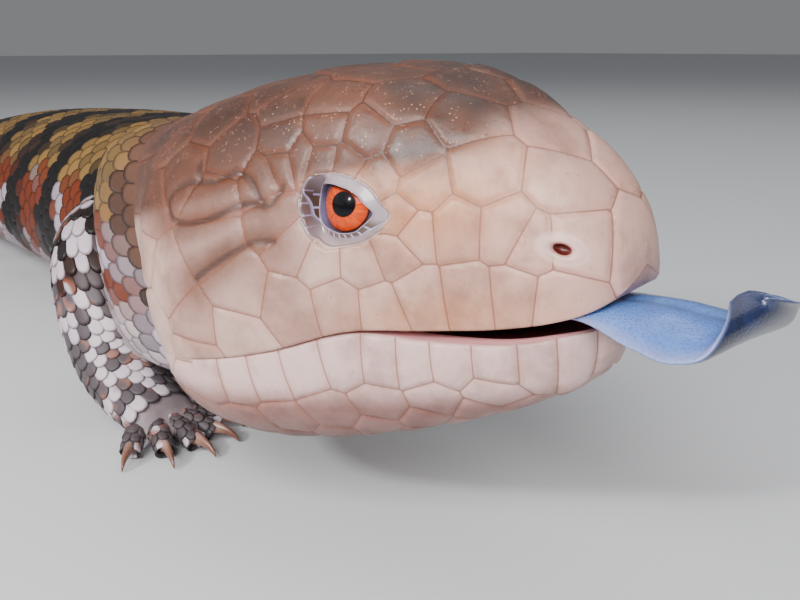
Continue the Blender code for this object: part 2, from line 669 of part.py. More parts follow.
def make_leg(kind, side, clearance, group):
    plan = LEGS[kind]
    sign = 1 if side == "right" else -1
    line = [body_place(back, out * sign, height) for back, out, height in plan[side]]
    shoulder, elbow, wrist, palm_tip = line
    radii = plan["radii"]
    lengths = np.linalg.norm(np.diff(np.array(line), axis=0), axis=1)
    elbow_place, elbow_way = line_frame(line, lengths[0] / lengths.sum())
    wrist_place, wrist_way = line_frame(line, lengths[:2].sum() / lengths.sum())
    palm_wide, palm_high = plan["palm"]
    widths = (radii[0], radii[1], radii[2], palm_wide)
    heights = (radii[0], radii[1], radii[2] * 0.9, palm_high)
    names = [f"{kind}_upper_{side}", f"{kind}_lower_{side}", f"{kind}_foot_{side}"]
    upper, lower, foot = [tube(name, line, widths, heights, steps=16, count=16)
                          for name in names]
    half_gap = GAP / 2
    keep_side(upper, elbow_place - elbow_way * half_gap, -elbow_way)
    keep_side(lower, elbow_place + elbow_way * half_gap, elbow_way)
    keep_side(lower, wrist_place - wrist_way * half_gap, -wrist_way)
    keep_side(foot, wrist_place + wrist_way * half_gap, wrist_way)
    combine(foot, toe_pieces(wrist, palm_tip, plan["palm"], plan["toes"], sign), "UNION", "MANIFOLD")
    for piece in (upper, lower, foot):
        combine(piece, [clearance.copy_of(piece.name)], "DIFFERENCE", "MANIFOLD")
        keep_side(piece, (0, 0, 0), (0, 0, 1))
        keep_largest(piece)
        finish(piece, "leg_skin", group)


class Clearance:
    # The neck, torso and head a little swollen, which the limbs are cut by
    def __init__(self, body, cutters):
        self.body = body
        self.cutters = cutters
        for old in list(body.users_collection):
            old.objects.unlink(body)
        cutters.objects.link(body)
        body.hide_render = True
        body.display_type = "WIRE"

    def copy_of(self, name):
        copy = self.body.copy()
        copy.data = self.body.data.copy()
        copy.name = name + "_clearance"
        bpy.context.scene.collection.objects.link(copy)
        return copy


# The pieces of the head

def sphere(name, centre, radius, segments=20, rings=12):
    shape = bmesh.new()
    bmesh.ops.create_uvsphere(shape, u_segments=segments, v_segments=rings, radius=radius * MM)
    mesh = bpy.data.meshes.new(name)
    shape.to_mesh(mesh)
    shape.free()
    ball = bpy.data.objects.new(name, mesh)
    place = head_to_world([centre])[0] * MM
    mesh.transform(Matrix.Translation(Vector(place)))
    bpy.context.scene.collection.objects.link(ball)
    return ball


def prism(name, centre, look, outline, inner, outer):
    # A closed prism along the look direction, its outline given across and up
    look = np.array(look, float)
    look /= np.linalg.norm(look)
    across = np.cross((0, 0, 1), look)
    across /= np.linalg.norm(across)
    up = np.cross(look, across)
    flat = np.array([across * x + up * y for x, y in outline])
    rings = [head_to_world(flat + np.array(centre) + look * inner) * MM,
             head_to_world(flat + np.array(centre) + look * outer) * MM]
    return loft(name, rings)


def almond(half_length, half_height, count=20):
    angle = np.linspace(0, 2 * math.pi, count, endpoint=False)
    return [(math.cos(a) * half_length, math.sin(a) * half_height * (1 - 0.25 * abs(math.cos(a))))
            for a in angle]


def on_side(point, side):
    sign = 1 if side == "right" else -1
    return (point[0], point[1] * sign, point[2])


def outside_mouth(middle, normal):
    # The palate and the flat back of the head aren't skin
    back = -middle[0]
    return back < HEAD_BACK[-1] - 0.01 and not (normal[2] < -0.6 and middle[2] < 1)


def outside_jaw(middle, normal):
    back = -middle[0]
    return back < JAW_BACK[-1] - 0.01 and not (normal[2] > 0.5)


def make_head(group):
    stations = head_stations(0, HEAD_BACK[-1], HEAD_STATIONS)
    head = loft("head", [head_ring(back, 3) for back in stations])
    raise_shields(head, both_sides(HEAD_SHIELDS), outside_mouth)
    place_on_head(head)
    lids = [sphere("lid", on_side(EYE_CENTRE, side), LID_RADIUS) for side in ("right", "left")]
    combine(head, lids, "UNION")
    cuts = []
    for side in ("right", "left"):
        eye, look = on_side(EYE_CENTRE, side), on_side(EYE_LOOK, side)
        cuts.append(sphere("socket", eye, EYE_RADIUS + GAP, 18, 10))
        cuts.append(prism("aperture", eye, look, almond(*LID_APERTURE), 2.0, 9.0))
        cuts.append(prism("nostril", on_side(NOSTRIL_PLACE, side), on_side((0.35, -0.93, 0.1), side),
                          almond(*NOSTRIL_SIZE, 12), -NOSTRIL_DEPTH, 3.0))
        cuts.append(prism("ear", on_side(EAR_PLACE, side), on_side((-0.25, -0.96, 0.0), side),
                          almond(*EAR_SIZE, 16), -EAR_DEPTH, 4.0))
    combine(head, cuts, "DIFFERENCE")
    keep_largest(head)
    finish(head, "head_skin", group)


def make_jaw(group):
    stations = head_stations(JAW_BACK[0], JAW_BACK[-1], JAW_STATIONS)
    jaw = loft("jaw", [jaw_ring(back, 3) for back in stations])
    raise_shields(jaw, both_sides(JAW_SHIELDS) + chin_centres(), outside_jaw)
    place_on_head(jaw)
    finish(jaw, "throat_skin", group)


def make_tongue(group):
    line = head_to_world(TONGUE_LINE)
    tongue = tube("tongue", line, TONGUE_HALF_WIDTH, TONGUE_HALF_THICKNESS, 15, 14, TONGUE_DROOP)
    finish(tongue, "tongue_blue", group)


def make_eyes(group):
    for side in ("right", "left"):
        eye = sphere(f"eye_{side}", on_side(EYE_CENTRE, side), EYE_RADIUS, 16, 10)
        finish(eye, "eye_orange", group)


def make_body(group, cutters):
    neck = body_length("neck", HEAD_BACK[-1] + GAP / 2, NECK_END, 5.0)
    finish(neck, "scaly_skin", group)
    for name, first, last in zip(("front", "middle", "rear"), TORSO_SPLITS, TORSO_SPLITS[1:]):
        finish(body_length(f"torso_{name}", first, last, 9.0), "scaly_skin", group)
    for name, first, last, count in zip(("base", "middle", "tip"), TAIL_SPLITS, TAIL_SPLITS[1:],
                                        (28, 24, 20)):
        finish(body_length(f"tail_{name}", first, last, 8.0, count), "scaly_skin", group)
    stations = np.linspace(HEAD_BACK[-1] + GAP, TAIL_SPLITS[1], 60)
    swollen = loft("body_clearance", [body_ring(back, 36, GAP + 0.1) * MM for back in stations])
    return Clearance(swollen, cutters)


def main():
    for old in list(bpy.data.objects):
        bpy.data.objects.remove(old)
    group = bpy.data.collections.new("blue_tongued_skink")
    cutters = bpy.data.collections.new("cutters")
    bpy.context.scene.collection.children.link(group)
    bpy.context.scene.collection.children.link(cutters)
    make_head(group)
    make_jaw(group)
    make_tongue(group)
    make_eyes(group)
    clearance = make_body(group, cutters)
    for kind in LEGS:
        for side in ("right", "left"):
            make_leg(kind, side, clearance, group)
    bpy.data.objects.remove(clearance.body)


main()
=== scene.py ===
import math

import bpy
import numpy as np
from mathutils import Matrix, Vector
from mathutils.bvhtree import BVHTree
from mathutils.kdtree import KDTree


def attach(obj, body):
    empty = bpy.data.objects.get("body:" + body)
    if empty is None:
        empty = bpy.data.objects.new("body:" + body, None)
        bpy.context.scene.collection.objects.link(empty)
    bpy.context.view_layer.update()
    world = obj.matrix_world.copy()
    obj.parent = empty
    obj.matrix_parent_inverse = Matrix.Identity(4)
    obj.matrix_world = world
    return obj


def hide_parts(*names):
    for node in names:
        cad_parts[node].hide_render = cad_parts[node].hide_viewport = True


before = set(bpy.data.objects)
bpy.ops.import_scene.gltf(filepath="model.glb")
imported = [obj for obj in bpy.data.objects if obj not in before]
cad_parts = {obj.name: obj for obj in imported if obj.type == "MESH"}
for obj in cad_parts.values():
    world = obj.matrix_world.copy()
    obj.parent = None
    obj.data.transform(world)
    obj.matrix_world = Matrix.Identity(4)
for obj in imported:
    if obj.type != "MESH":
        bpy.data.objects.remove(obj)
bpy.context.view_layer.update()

# Blue tongued skink. Sizes are in millimetres and become metres where a mesh is made.
# The head has its own frame: snout tip at the origin, x forward, y left, z up.
mm = 0.001
sides = ("right", "left")


# smooth lines through a few named points

def slopes(places, values):
    steps = np.diff(places)
    rises = np.diff(values) / steps
    tilt = np.empty(len(values))
    tilt[1:-1] = (steps[1:] * rises[:-1] + steps[:-1] * rises[1:]) / (steps[1:] + steps[:-1])
    tilt[0] = 2 * rises[0] - tilt[1]
    tilt[-1] = 2 * rises[-1] - tilt[-2]
    return tilt


def follow(places, values, wanted):
    places = np.asarray(places, float)
    values = np.asarray(values, float)
    wanted = np.clip(np.asarray(wanted, float), places[0], places[-1])
    tilt = slopes(places, values)
    span = np.clip(np.searchsorted(places, wanted, side="right") - 1, 0, len(places) - 2)
    width = places[span + 1] - places[span]
    part = (wanted - places[span]) / width
    return ((2 * part**3 - 3 * part**2 + 1) * values[span] + (3 * part**2 - 2 * part**3) * values[span + 1]
            + (part**3 - 2 * part**2 + part) * width * tilt[span]
            + (part**3 - part**2) * width * tilt[span + 1])


def turns(count):
    # angles round a circle
    return np.linspace(0, 2 * math.pi, count, endpoint=False)


def ease(value, low, high):
    part = np.clip((np.asarray(value, float) - low) / (high - low), 0.0, 1.0)
    return part * part * (3 - 2 * part)


def closedCurve(points, centre, angles):
    # radius round a centre, smoothly through the points of a closed outline
    away = np.array(points, float) - centre
    turn = np.arctan2(away[:, 1], away[:, 0])
    order = np.argsort(turn)
    turn, reach = turn[order], np.linalg.norm(away, axis=1)[order]
    turn = np.concatenate([turn[-3:] - 2 * math.pi, turn, turn[:3] + 2 * math.pi])
    reach = np.concatenate([reach[-3:], reach, reach[:3]])
    return follow(turn, reach, (np.asarray(angles) + math.pi) % (2 * math.pi) - math.pi)


def unit(vectors):
    vectors = np.asarray(vectors, float)
    return vectors / np.maximum(np.linalg.norm(vectors, axis=-1, keepdims=True), 1e-12)


def walkAlong(line):
    # lengths from a line's start to each of its points
    return np.concatenate([[0], np.cumsum(np.linalg.norm(np.diff(line, axis=0), axis=1))])


def followLine(places, line, wanted):
    return np.stack([follow(places, line[:, k], wanted) for k in range(3)], axis=-1)


# meshes from arrays

def addLayer(piece, key, values):
    # a number or a direction for every point
    values = np.asarray(values, float)
    single = values.ndim == 1
    layer = piece.data.attributes.new(key, "FLOAT" if single else "FLOAT_VECTOR", "POINT")
    layer.data.foreach_set("value" if single else "vector", values.ravel())


def makePiece(name, points, faces, attributes=None):
    mesh = bpy.data.meshes.new(name)
    mesh.from_pydata(np.asarray(points, float) * mm, [], faces)
    mesh.shade_smooth()
    mesh.update()
    piece = bpy.data.objects.new(name, mesh)
    bpy.context.scene.collection.objects.link(piece)
    for key, values in (attributes or {}).items():
        addLayer(piece, key, values)
    return piece


def setPatchMap(piece, places):
    # the bake's map: one place per vertex
    layer = piece.data.uv_layers.new(name="OFBake")
    corners = np.empty(len(piece.data.loops), dtype=np.int32)
    piece.data.loops.foreach_get("vertex_index", corners)
    layer.data.foreach_set("uv", np.asarray(places, float)[corners].ravel())


def pickOnly(piece):
    bpy.ops.object.select_all(action="DESELECT")
    piece.select_set(True)
    bpy.context.view_layer.objects.active = piece


def applyModifier(piece, kind, **settings):
    pickOnly(piece)
    modifier = piece.modifiers.new(kind.lower(), kind)
    for key, value in settings.items():
        setattr(modifier, key, value)
    bpy.ops.object.modifier_apply(modifier=modifier.name)


def turnOutwards(piece):
    pickOnly(piece)
    bpy.ops.object.mode_set(mode="EDIT")
    bpy.ops.mesh.select_all(action="SELECT")
    bpy.ops.mesh.normals_make_consistent(inside=False)
    bpy.ops.object.mode_set(mode="OBJECT")


def pointNormals(points, tris):
    a, b, c = (points[tris[:, k]] for k in range(3))
    flat = np.cross(b - a, c - a)
    out = np.zeros_like(points)
    for k in range(3):
        np.add.at(out, tris[:, k], flat)
    return unit(out)


# the head's place on the body, and its guide lines

napeBack = 63.0  # where the head's shell ends, behind the snout
headPlace = {"snout": (186.0, -27.0, 36.0), "turn": 10.0, "pitch": 4.4, "roll": 5.9}
headShape = {
    "back": (0, 0.5, 2, 5, 10, 17, 25, 34, 44, 51, 57, 63),
    "lip": ((0, 2.8, 5.0, 7.3, 9.8, 12.5, 15.3, 18.4, 20.5, 19.2, 15.0, 12.2),
            (-0.8, -2.6, -3.9, -4.8, -5.3, -5.4, -5.6, -7.8, -9.15, -9.45, -9.35, -9.15)),
    "cheek": ((0, 3.1, 5.5, 7.8, 10.3, 12.9, 15.9, 19.1, 21.4, 20.0, 15.6, 12.8),
              (-0.4, -0.5, -0.6, -0.4, 0, 0.2, 0, -0.8, -2.0, -2.4, -2.6, -2.6)),
    "brow": ((0, 2.9, 5.1, 7.2, 9.4, 11.8, 14.2, 16.6, 18.7, 18.2, 14.9, 12.5),
             (0.3, 1.4, 2.7, 4.4, 6.5, 8.1, 8.8, 8.8, 7.6, 6.8, 6.0, 5.2)),
    "canthus": ((0, 1.9, 3.5, 4.8, 6.1, 8.4, 10.5, 11.0, 11.5, 11.6, 10.8, 9.8),
                (0.8, 2.7, 5.1, 8.0, 11.4, 14.8, 16.5, 16.6, 15.6, 14.5, 13.2, 12.0)),
    "crown": ((0,) * 12, (0.8, 3.2, 5.8, 8.8, 12.4, 16.1, 18.2, 18.9, 18.2, 17.0, 15.8, 14.6)),
}
jawShape = {
    "back": (3, 4, 6, 10, 17, 25, 34, 44, 51, 57, 63),
    "lower lip": ((0, 2.9, 6.3, 9.2, 12.0, 14.9, 18.0, 20.5, 19.2, 15.0, 12.2),
                  (-7.0, -6.8, -6.8, -7.0, -6.6, -5.82, -7.83, -9.15, -9.45, -9.35, -9.15)),
    "side": ((0, 2.4, 5.9, 8.9, 11.6, 14.4, 17.4, 19.2, 17.9, 14.3, 11.7),
             (-7.6, -8.6, -9.5, -10.9, -11.9, -13.0, -14.2, -14.7, -14.5, -14.0, -13.0)),
    "under": ((0, 1.3, 3.8, 5.9, 7.9, 10.0, 12.0, 13.4, 13.0, 11.2, 9.6),
              (-8.2, -9.9, -12.2, -13.8, -16.0, -17.9, -19.5, -20.1, -19.4, -18.4, -17.2)),
    "throat": ((0,) * 11, (-8.2, -10.0, -12.6, -14.3, -16.8, -18.8, -20.6, -21.1, -20.4, -19.2, -18.0)),
}
mouthShape = {
    "corner": 44.0, "fade": 6.0, "opens": (1.0, 7.0), "palate": 2.0, "basin": 1.9, "columns": 44,
    "gum": 1.15, "gum place": 0.84, "gum width": 0.1,
    # where the colour goes from gum to deep mouth, a darker red that is partly the flesh's own colour and partly
    # painted shade, along the palate and across palate and floor
    "shade along": (3.5, 7.0), "shade across": (0.93, 1.0), "floor shade": (0.55, 0.78), "floor tone": 0.25,
}

headFrame = (Matrix.Translation(headPlace["snout"]) @ Matrix.Rotation(math.radians(headPlace["turn"]), 4, "Z")
             @ Matrix.Rotation(math.radians(-headPlace["pitch"]), 4, "Y")
             @ Matrix.Rotation(math.radians(headPlace["roll"]), 4, "X"))
headMatrix = np.array(headFrame)


def headToWorld(points):
    return np.asarray(points, float).reshape(-1, 3) @ headMatrix[:3, :3].T + headMatrix[:3, 3]


def guidePoints(shape, back):
    stations = shape["back"]
    roots = np.sqrt(np.array(stations, float) - stations[0])
    wanted = math.sqrt(max(back - stations[0], 0.0))
    lines = [line for key, line in shape.items() if key != "back"]
    return [tuple(float(follow(roots, values, wanted)) for values in line) for line in lines]


def arch(half, steps):
    # over both sides, through the guide points of one side, outermost first
    both = np.array([(-out, up) for out, up in half] + [(out, up) for out, up in reversed(half[:-1])])
    lengths = np.maximum(np.linalg.norm(np.diff(both, axis=0), axis=1), 0.02)
    places = np.concatenate([[0], np.cumsum(lengths)])
    wanted = np.concatenate([np.linspace(places[i], places[i + 1], steps, endpoint=False)
                             for i in range(len(lengths))] + [[places[-1]]])
    return np.stack([follow(places, both[:, 0], wanted), follow(places, both[:, 1], wanted)], axis=1)


# the body's middle line and sections, as distances behind the snout

bodyShape = {
    "line back": (55, 63, 70, 80, 90, 100, 112, 130, 150, 170, 210, 250, 290, 330, 370, 410, 450, 488),
    "heading": (10, 10, -7, -33, -45, -44, -33, -18, -10, -7, 0, 6, 12, 16, 13, 2, -12, -24),
    "step": 0.5, "nape middle": -2.0, "nape": 63.0, "neck end": 97.0, "tail end": 487.6,
    "back": (75, 90, 102, 130, 170, 212, 250, 282, 302, 330, 370, 410, 450, 475, 488),
    "half width": (11.8, 15.0, 19.0, 25.5, 30, 31, 28, 21.5, 17.5, 15, 12.2, 9.2, 5.8, 3.0, 0.9),
    "top": (43.0, 40.2, 38.6, 38.2, 39, 38.4, 36.5, 32.5, 29.5, 26, 21.8, 16.8, 10.6, 5.6, 1.9),
    "under": (9.0, 2.0, -1.2, -1.6, -1.8, -1.8, -1.6, -1.2, -0.8, -0.8, -0.6, -0.5, -0.4, -0.3, 0.1),
    "widest": 0.42, "squareness": 0.86,
}


def middleLine():
    places, step = bodyShape["line back"], bodyShape["step"]
    backs = np.arange(places[0], places[-1] + step, step)
    middles = np.radians(follow(places, bodyShape["heading"], backs[:-1] + step / 2))
    steps = -step * np.stack([np.cos(middles), np.sin(middles)], axis=1)
    start = headToWorld([(-places[0], 0, bodyShape["nape middle"])])[:, :2]
    return start + np.vstack([[0, 0], np.cumsum(steps, axis=0)]), backs


lineXY, linePlaces = middleLine()


def linePlace(back):
    place = np.array([np.interp(back, linePlaces, lineXY[:, k]) for k in (0, 1)])
    heading = math.radians(float(follow(bodyShape["line back"], bodyShape["heading"], back)))
    return place, np.array([math.cos(heading), math.sin(heading)])


def bodyPlace(back, side, height):
    place, forward = linePlace(back)
    flat = place + np.array([forward[1], -forward[0]]) * side
    return np.array([flat[0], flat[1], height])


def bodySection(back, count):
    half, top, under = (float(follow(bodyShape["back"], bodyShape[key], back))
                        for key in ("half width", "top", "under"))
    middle = under + (top - under) * bodyShape["widest"]
    angle = turns(count)
    power = bodyShape["squareness"]
    across = np.sign(np.cos(angle)) * np.abs(np.cos(angle))**power * half
    rise = np.where(np.sin(angle) > 0, top - middle, middle - under)
    up = middle + np.sign(np.sin(angle)) * np.abs(np.sin(angle))**power * rise
    return np.stack([across, up], axis=1)


def polarReach(section, centre, angles):
    offset = section - centre
    turn = np.arctan2(offset[:, 1], offset[:, 0])
    order = np.argsort(turn)
    return np.interp(angles, turn[order], np.linalg.norm(offset, axis=1)[order], period=2 * math.pi)


napeLine = np.vstack([arch(guidePoints(headShape, napeBack), 12), arch(guidePoints(jawShape, napeBack), 12)[::-1]])


def bodyRing(back, count, swell=0.0):
    # starts at the middle of the back and goes round over the animal's right side
    angles = math.pi / 2 + turns(count)
    blend = float(ease(back, bodyShape["nape"], bodyShape["neck end"]))
    section = bodySection(max(back, bodyShape["back"][0]), 240)
    middle = section[:, 1].mean()
    reach = polarReach(section, np.array([0, middle]), angles)
    if blend < 1:
        napeReach = polarReach(napeLine, np.array([0, bodyShape["nape middle"]]), angles)
        reach = (1 - blend) * napeReach + blend * reach
        middle = (1 - blend) * headToWorld([(-back, 0, bodyShape["nape middle"])])[0][2] + blend * middle
    reach = np.maximum(reach + swell, reach * 0.4)
    flat, heading = linePlace(back)
    pitch = (1 - blend) * math.radians(headPlace["pitch"])
    roll = (1 - blend) * math.radians(headPlace["roll"])
    ahead = np.array([heading[0], heading[1], 0])
    side = np.array([-heading[1], heading[0], 0])
    rise = np.array([0, 0, math.cos(pitch)]) - ahead * math.sin(pitch)
    left = side * math.cos(roll) + rise * math.sin(roll)
    over = rise * math.cos(roll) - side * math.sin(roll)
    ring = (np.array([flat[0], flat[1], middle]) + np.outer(reach * np.cos(angles), left)
            + np.outer(reach * np.sin(angles), over))
    ring[:, 2] = np.maximum(ring[:, 2], -swell)
    return ring


# a surface as a grid of points: rows along it, columns round it by length from its top

def makeGrid(rings, along, columns):
    rows, perimeters = [], []
    for ring in rings:
        closed = np.vstack([ring, ring[:1]])
        walk = walkAlong(closed)
        wanted = np.arange(columns) / columns * walk[-1]
        rows.append(np.stack([np.interp(wanted, walk, closed[:, k]) for k in range(3)], axis=1))
        perimeters.append(walk[-1])
    points = np.array(rows)
    lengthwise = np.gradient(points, axis=0)
    roundwise = np.roll(points, -1, axis=1) - np.roll(points, 1, axis=1)
    normals = unit(np.cross(lengthwise, roundwise))
    outward = np.einsum("ijk,ijk->ij", normals, points - points.mean(axis=1, keepdims=True))
    if outward.mean() < 0:
        normals = -normals
    return {"points": points, "normals": normals, "along": np.asarray(along, float),
            "perimeter": np.array(perimeters), "columns": columns}


def onGrid(grid, along, around):
    row = np.interp(along, grid["along"], np.arange(len(grid["along"])))
    low = np.clip(row.astype(int), 0, len(grid["along"]) - 2)
    part = (row - low)[..., None]
    column = (around % 1.0) * grid["columns"]
    first = column.astype(int) % grid["columns"]
    second = (first + 1) % grid["columns"]
    slide = (column - column.astype(int))[..., None]

    def blendOf(values):
        near = values[low, first] * (1 - slide) + values[low, second] * slide
        far = values[low + 1, first] * (1 - slide) + values[low + 1, second] * slide
        return near * (1 - part) + far * part
    return blendOf(grid["points"]), unit(blendOf(grid["normals"]))


def gridFaces(rows, columns, closed=True):
    low = np.arange(rows - 1)[:, None] * columns
    step = np.arange(columns if closed else columns - 1)[None, :]
    after = (step + 1) % columns
    a, b = low + step, low + after
    return np.stack([a, b, b + columns, a + columns], axis=-1).reshape(-1, 4)


bodyGridShape = {"first": 61.0, "tail from": 480.0, "tail rows": 16, "ring": 360, "columns": 256}


def makeBodyGrid():
    shape = bodyGridShape
    backs = np.concatenate([np.arange(shape["first"], shape["tail from"], 1.0),
                            np.linspace(shape["tail from"], bodyShape["tail end"], shape["tail rows"])])
    return makeGrid([bodyRing(back, shape["ring"]) for back in backs], backs, shape["columns"])


bodyGrid = makeBodyGrid()
print("body grid", bodyGrid["points"].shape)


# legs: joints as distance back, side distance from the middle line, height

legShape = {
    "foreleg": {"right": ((96, 11.5, 23), (81.5, 13.6, 23.5), (75.5, 10.5, 9.0), (69, 6.0, 4.0)),
                "left": ((102, 13, 20), (120, 34, 17), (112, 45, 6.8), (103, 50, 3.6)),
                "radii": (8.6, 7.2, 5.9, 4.9), "palm": (5.6, 3.1), "toes": (4.6, 5.6, 6.4, 6.0, 4.6)},
    "hindleg": {"right": ((283, 12, 17), (271, 35, 18), (288, 45, 7.0), (279, 51, 3.8)),
                "left": ((283, 12, 17), (268, 33, 18), (285, 43, 7.0), (277, 50, 3.8)),
                "radii": (10.0, 7.4, 5.2, 4.6), "palm": (5.8, 3.1), "toes": (6.0, 8.5, 10.5, 11.5, 8.0)},
}
legGridShape = {"rows": 90, "columns": 96, "wrist flatness": 0.9}
toeShape = {
    "spread": (-52, -26, -2, 22, 52), "radius": 1.75, "taper": (1, 0.92, 0.8), "rows": 30, "columns": 48,
    "root back": 2.2, "root aside": 0.62, "root height": 2.9, "bend height": 3.0, "past": 1.5, "tip height": 0.72,
}
clawShape = {
    "length": 4.6, "radius": 0.95, "in the toe": 1.6, "arch": 0.35, "tip": 0.85, "heights": (1.9, 1.9, 0.35),
    "sides": 16, "rings": 8, "flatness": 0.72, "taper": 0.86, "taper power": 1.7, "off the floor": 0.1,
}
tubeStep = 0.4  # either side of a ring, for its direction


def tubeRings(line, halfWidth, halfHeight, shares, count, droop=None):
    # starts at the top of each ring
    line = np.array(line, float)
    places = walkAlong(line)
    total = places[-1]
    rings = []
    angle = math.pi / 2 + turns(count)
    for share in shares:
        at = share * total
        place = followLine(places, line, at)
        ahead = followLine(places, line, min(at + tubeStep, total))
        behind = followLine(places, line, max(at - tubeStep, 0))
        forward = unit(ahead - behind)
        side = unit(np.cross(forward, (0, 0, 1)))
        rise = np.cross(side, forward)
        wide = float(follow(places, halfWidth, at))
        high = float(follow(places, halfHeight, at))
        ring = place + np.outer(np.cos(angle) * wide, side) + np.outer(np.sin(angle) * high, rise)
        if droop:
            ring -= np.outer(np.cos(angle)**2 * float(follow(places, droop, at)), rise)
        rings.append(ring)
    return np.array(rings), total


def tubeGrid(line, halfWidth, halfHeight, rows, columns):
    shares = np.linspace(0, 1, rows)
    rings, total = tubeRings(line, halfWidth, halfHeight, shares, columns)
    return makeGrid(rings, shares * total, columns)


def legParts(kind, side):
    # the leg's own grid, its toes' grids and its claws' lines
    plan = legShape[kind]
    sign = 1 if side == "right" else -1
    line = [bodyPlace(back, out * sign, height) for back, out, height in plan[side]]
    radii, (palmWide, palmHigh) = plan["radii"], plan["palm"]
    heights = (radii[0], radii[1], radii[2] * legGridShape["wrist flatness"], palmHigh)
    leg = tubeGrid(line, radii[:3] + (palmWide,), heights, legGridShape["rows"], legGridShape["columns"])
    wrist, palmTip = line[2], line[3]
    forward = palmTip - wrist
    forward[2] = 0
    forward = unit(forward)
    right = np.array([forward[1], -forward[0], 0])
    radius = toeShape["radius"]
    widths = [radius * share for share in toeShape["taper"]]
    toes, claws = [], []
    for spread, length in zip(toeShape["spread"], plan["toes"]):
        angle = math.radians(spread * sign)
        way = forward * math.cos(angle) + right * math.sin(angle)
        root = (palmTip - forward * toeShape["root back"]
                + right * math.sin(angle) * palmWide * toeShape["root aside"])
        root[2] = toeShape["root height"]
        bend = root + way * length * 0.5
        bend[2] = toeShape["bend height"]
        tip = root + way * (length + toeShape["past"])
        tip[2] = radius * toeShape["tip height"]
        toes.append(tubeGrid((root, bend, tip), widths, widths, toeShape["rows"], toeShape["columns"]))
        claw = np.array([tip - way * clawShape["in the toe"], tip + way * clawShape["length"] * clawShape["arch"],
                         tip + way * clawShape["length"] * clawShape["tip"]])
        claw[:, 2] = clawShape["heights"]
        claws.append(claw)
    return {"kind": kind, "leg": leg, "toes": toes, "claws": claws}


legs = [legParts(kind, side) for kind in legShape for side in sides]
print("leg grids", len(legs))


# body skin: body, legs and toes as closed shells, joined by a voxel remesh

skinShape = {
    "coat depth": 0.45, "toe depth": 0.7, "first": 58.0, "last": 486.0, "step": 1.5, "ring": 128,
    "voxel": 0.95, "smooth": 6, "smooth factor": 0.5,
}


def closedShell(rings):
    rings = np.array(rings)
    rows, columns = rings.shape[:2]
    points = np.vstack([rings.reshape(-1, 3), rings[0].mean(axis=0), rings[-1].mean(axis=0)])
    faces = gridFaces(rows, columns).tolist()
    last = (rows - 1) * columns
    for step in range(columns):
        after = (step + 1) % columns
        faces.append((after, step, len(points) - 2))
        faces.append((last + step, last + after, len(points) - 1))
    return points, faces


def shrunk(grid, depth):
    points = grid["points"] - grid["normals"] * depth
    points[..., 2] = np.maximum(points[..., 2], depth)
    return points


def nearestOnBody(points):
    # distance back and share round, from the nearest point of the body's grid
    rows, columns = bodyGrid["points"].shape[:2]
    picked = [(i, j) for i in range(0, rows, 2) for j in range(0, columns, 4)]
    tree = KDTree(len(picked))
    for number, (i, j) in enumerate(picked):
        tree.insert(bodyGrid["points"][i, j], number)
    tree.balance()
    found = np.array([picked[tree.find(point)[1]] for point in points])
    return bodyGrid["along"][found[:, 0]], found[:, 1] / columns


def makeBodySkin():
    depth = skinShape["coat depth"]
    backs = np.arange(skinShape["first"], skinShape["last"], skinShape["step"])
    shells = [closedShell([bodyRing(back, skinShape["ring"], -depth) for back in backs])]
    for leg in legs:
        shells.append(closedShell(shrunk(leg["leg"], depth)))
        for toe in leg["toes"]:
            shells.append(closedShell(shrunk(toe, depth * skinShape["toe depth"])))
    points, faces, start = [], [], 0
    for shellPoints, shellFaces in shells:
        points.append(shellPoints)
        faces.extend([[start + v for v in face] for face in shellFaces])
        start += len(shellPoints)
    skin = makePiece("bodySkin", np.vstack(points), faces)
    turnOutwards(skin)
    applyModifier(skin, "REMESH", mode="VOXEL", voxel_size=skinShape["voxel"] * mm, use_smooth_shade=True)
    applyModifier(skin, "SMOOTH", factor=skinShape["smooth factor"], iterations=skinShape["smooth"])
    points = np.empty(len(skin.data.vertices) * 3)
    skin.data.vertices.foreach_get("co", points)
    along, around = nearestOnBody(points.reshape(-1, 3) / mm)
    addLayer(skin, "along", along)
    addLayer(skin, "around", around)
    return skin


bodySkin = makeBodySkin()
print("body skin", len(bodySkin.data.polygons), "faces")


# scales: overlapping plates in rows, each second row set half a scale on

scaleShape = {
    "outline": 12, "front": -0.52, "rear": 1.04, "inner ring": 0.62, "roundness": (0.85, 0.8), "under": 0.98,
    "front height": -0.34, "rear height": 0.20, "crown": 0.10, "edge": 0.30,
    "width share": 0.57, "sway": 0.04, "sizes": (0.95, 1.06), "uneven": 0.03, "off the floor": 0.03,
    "patch": 0.003, "patch span": 1.6,
}


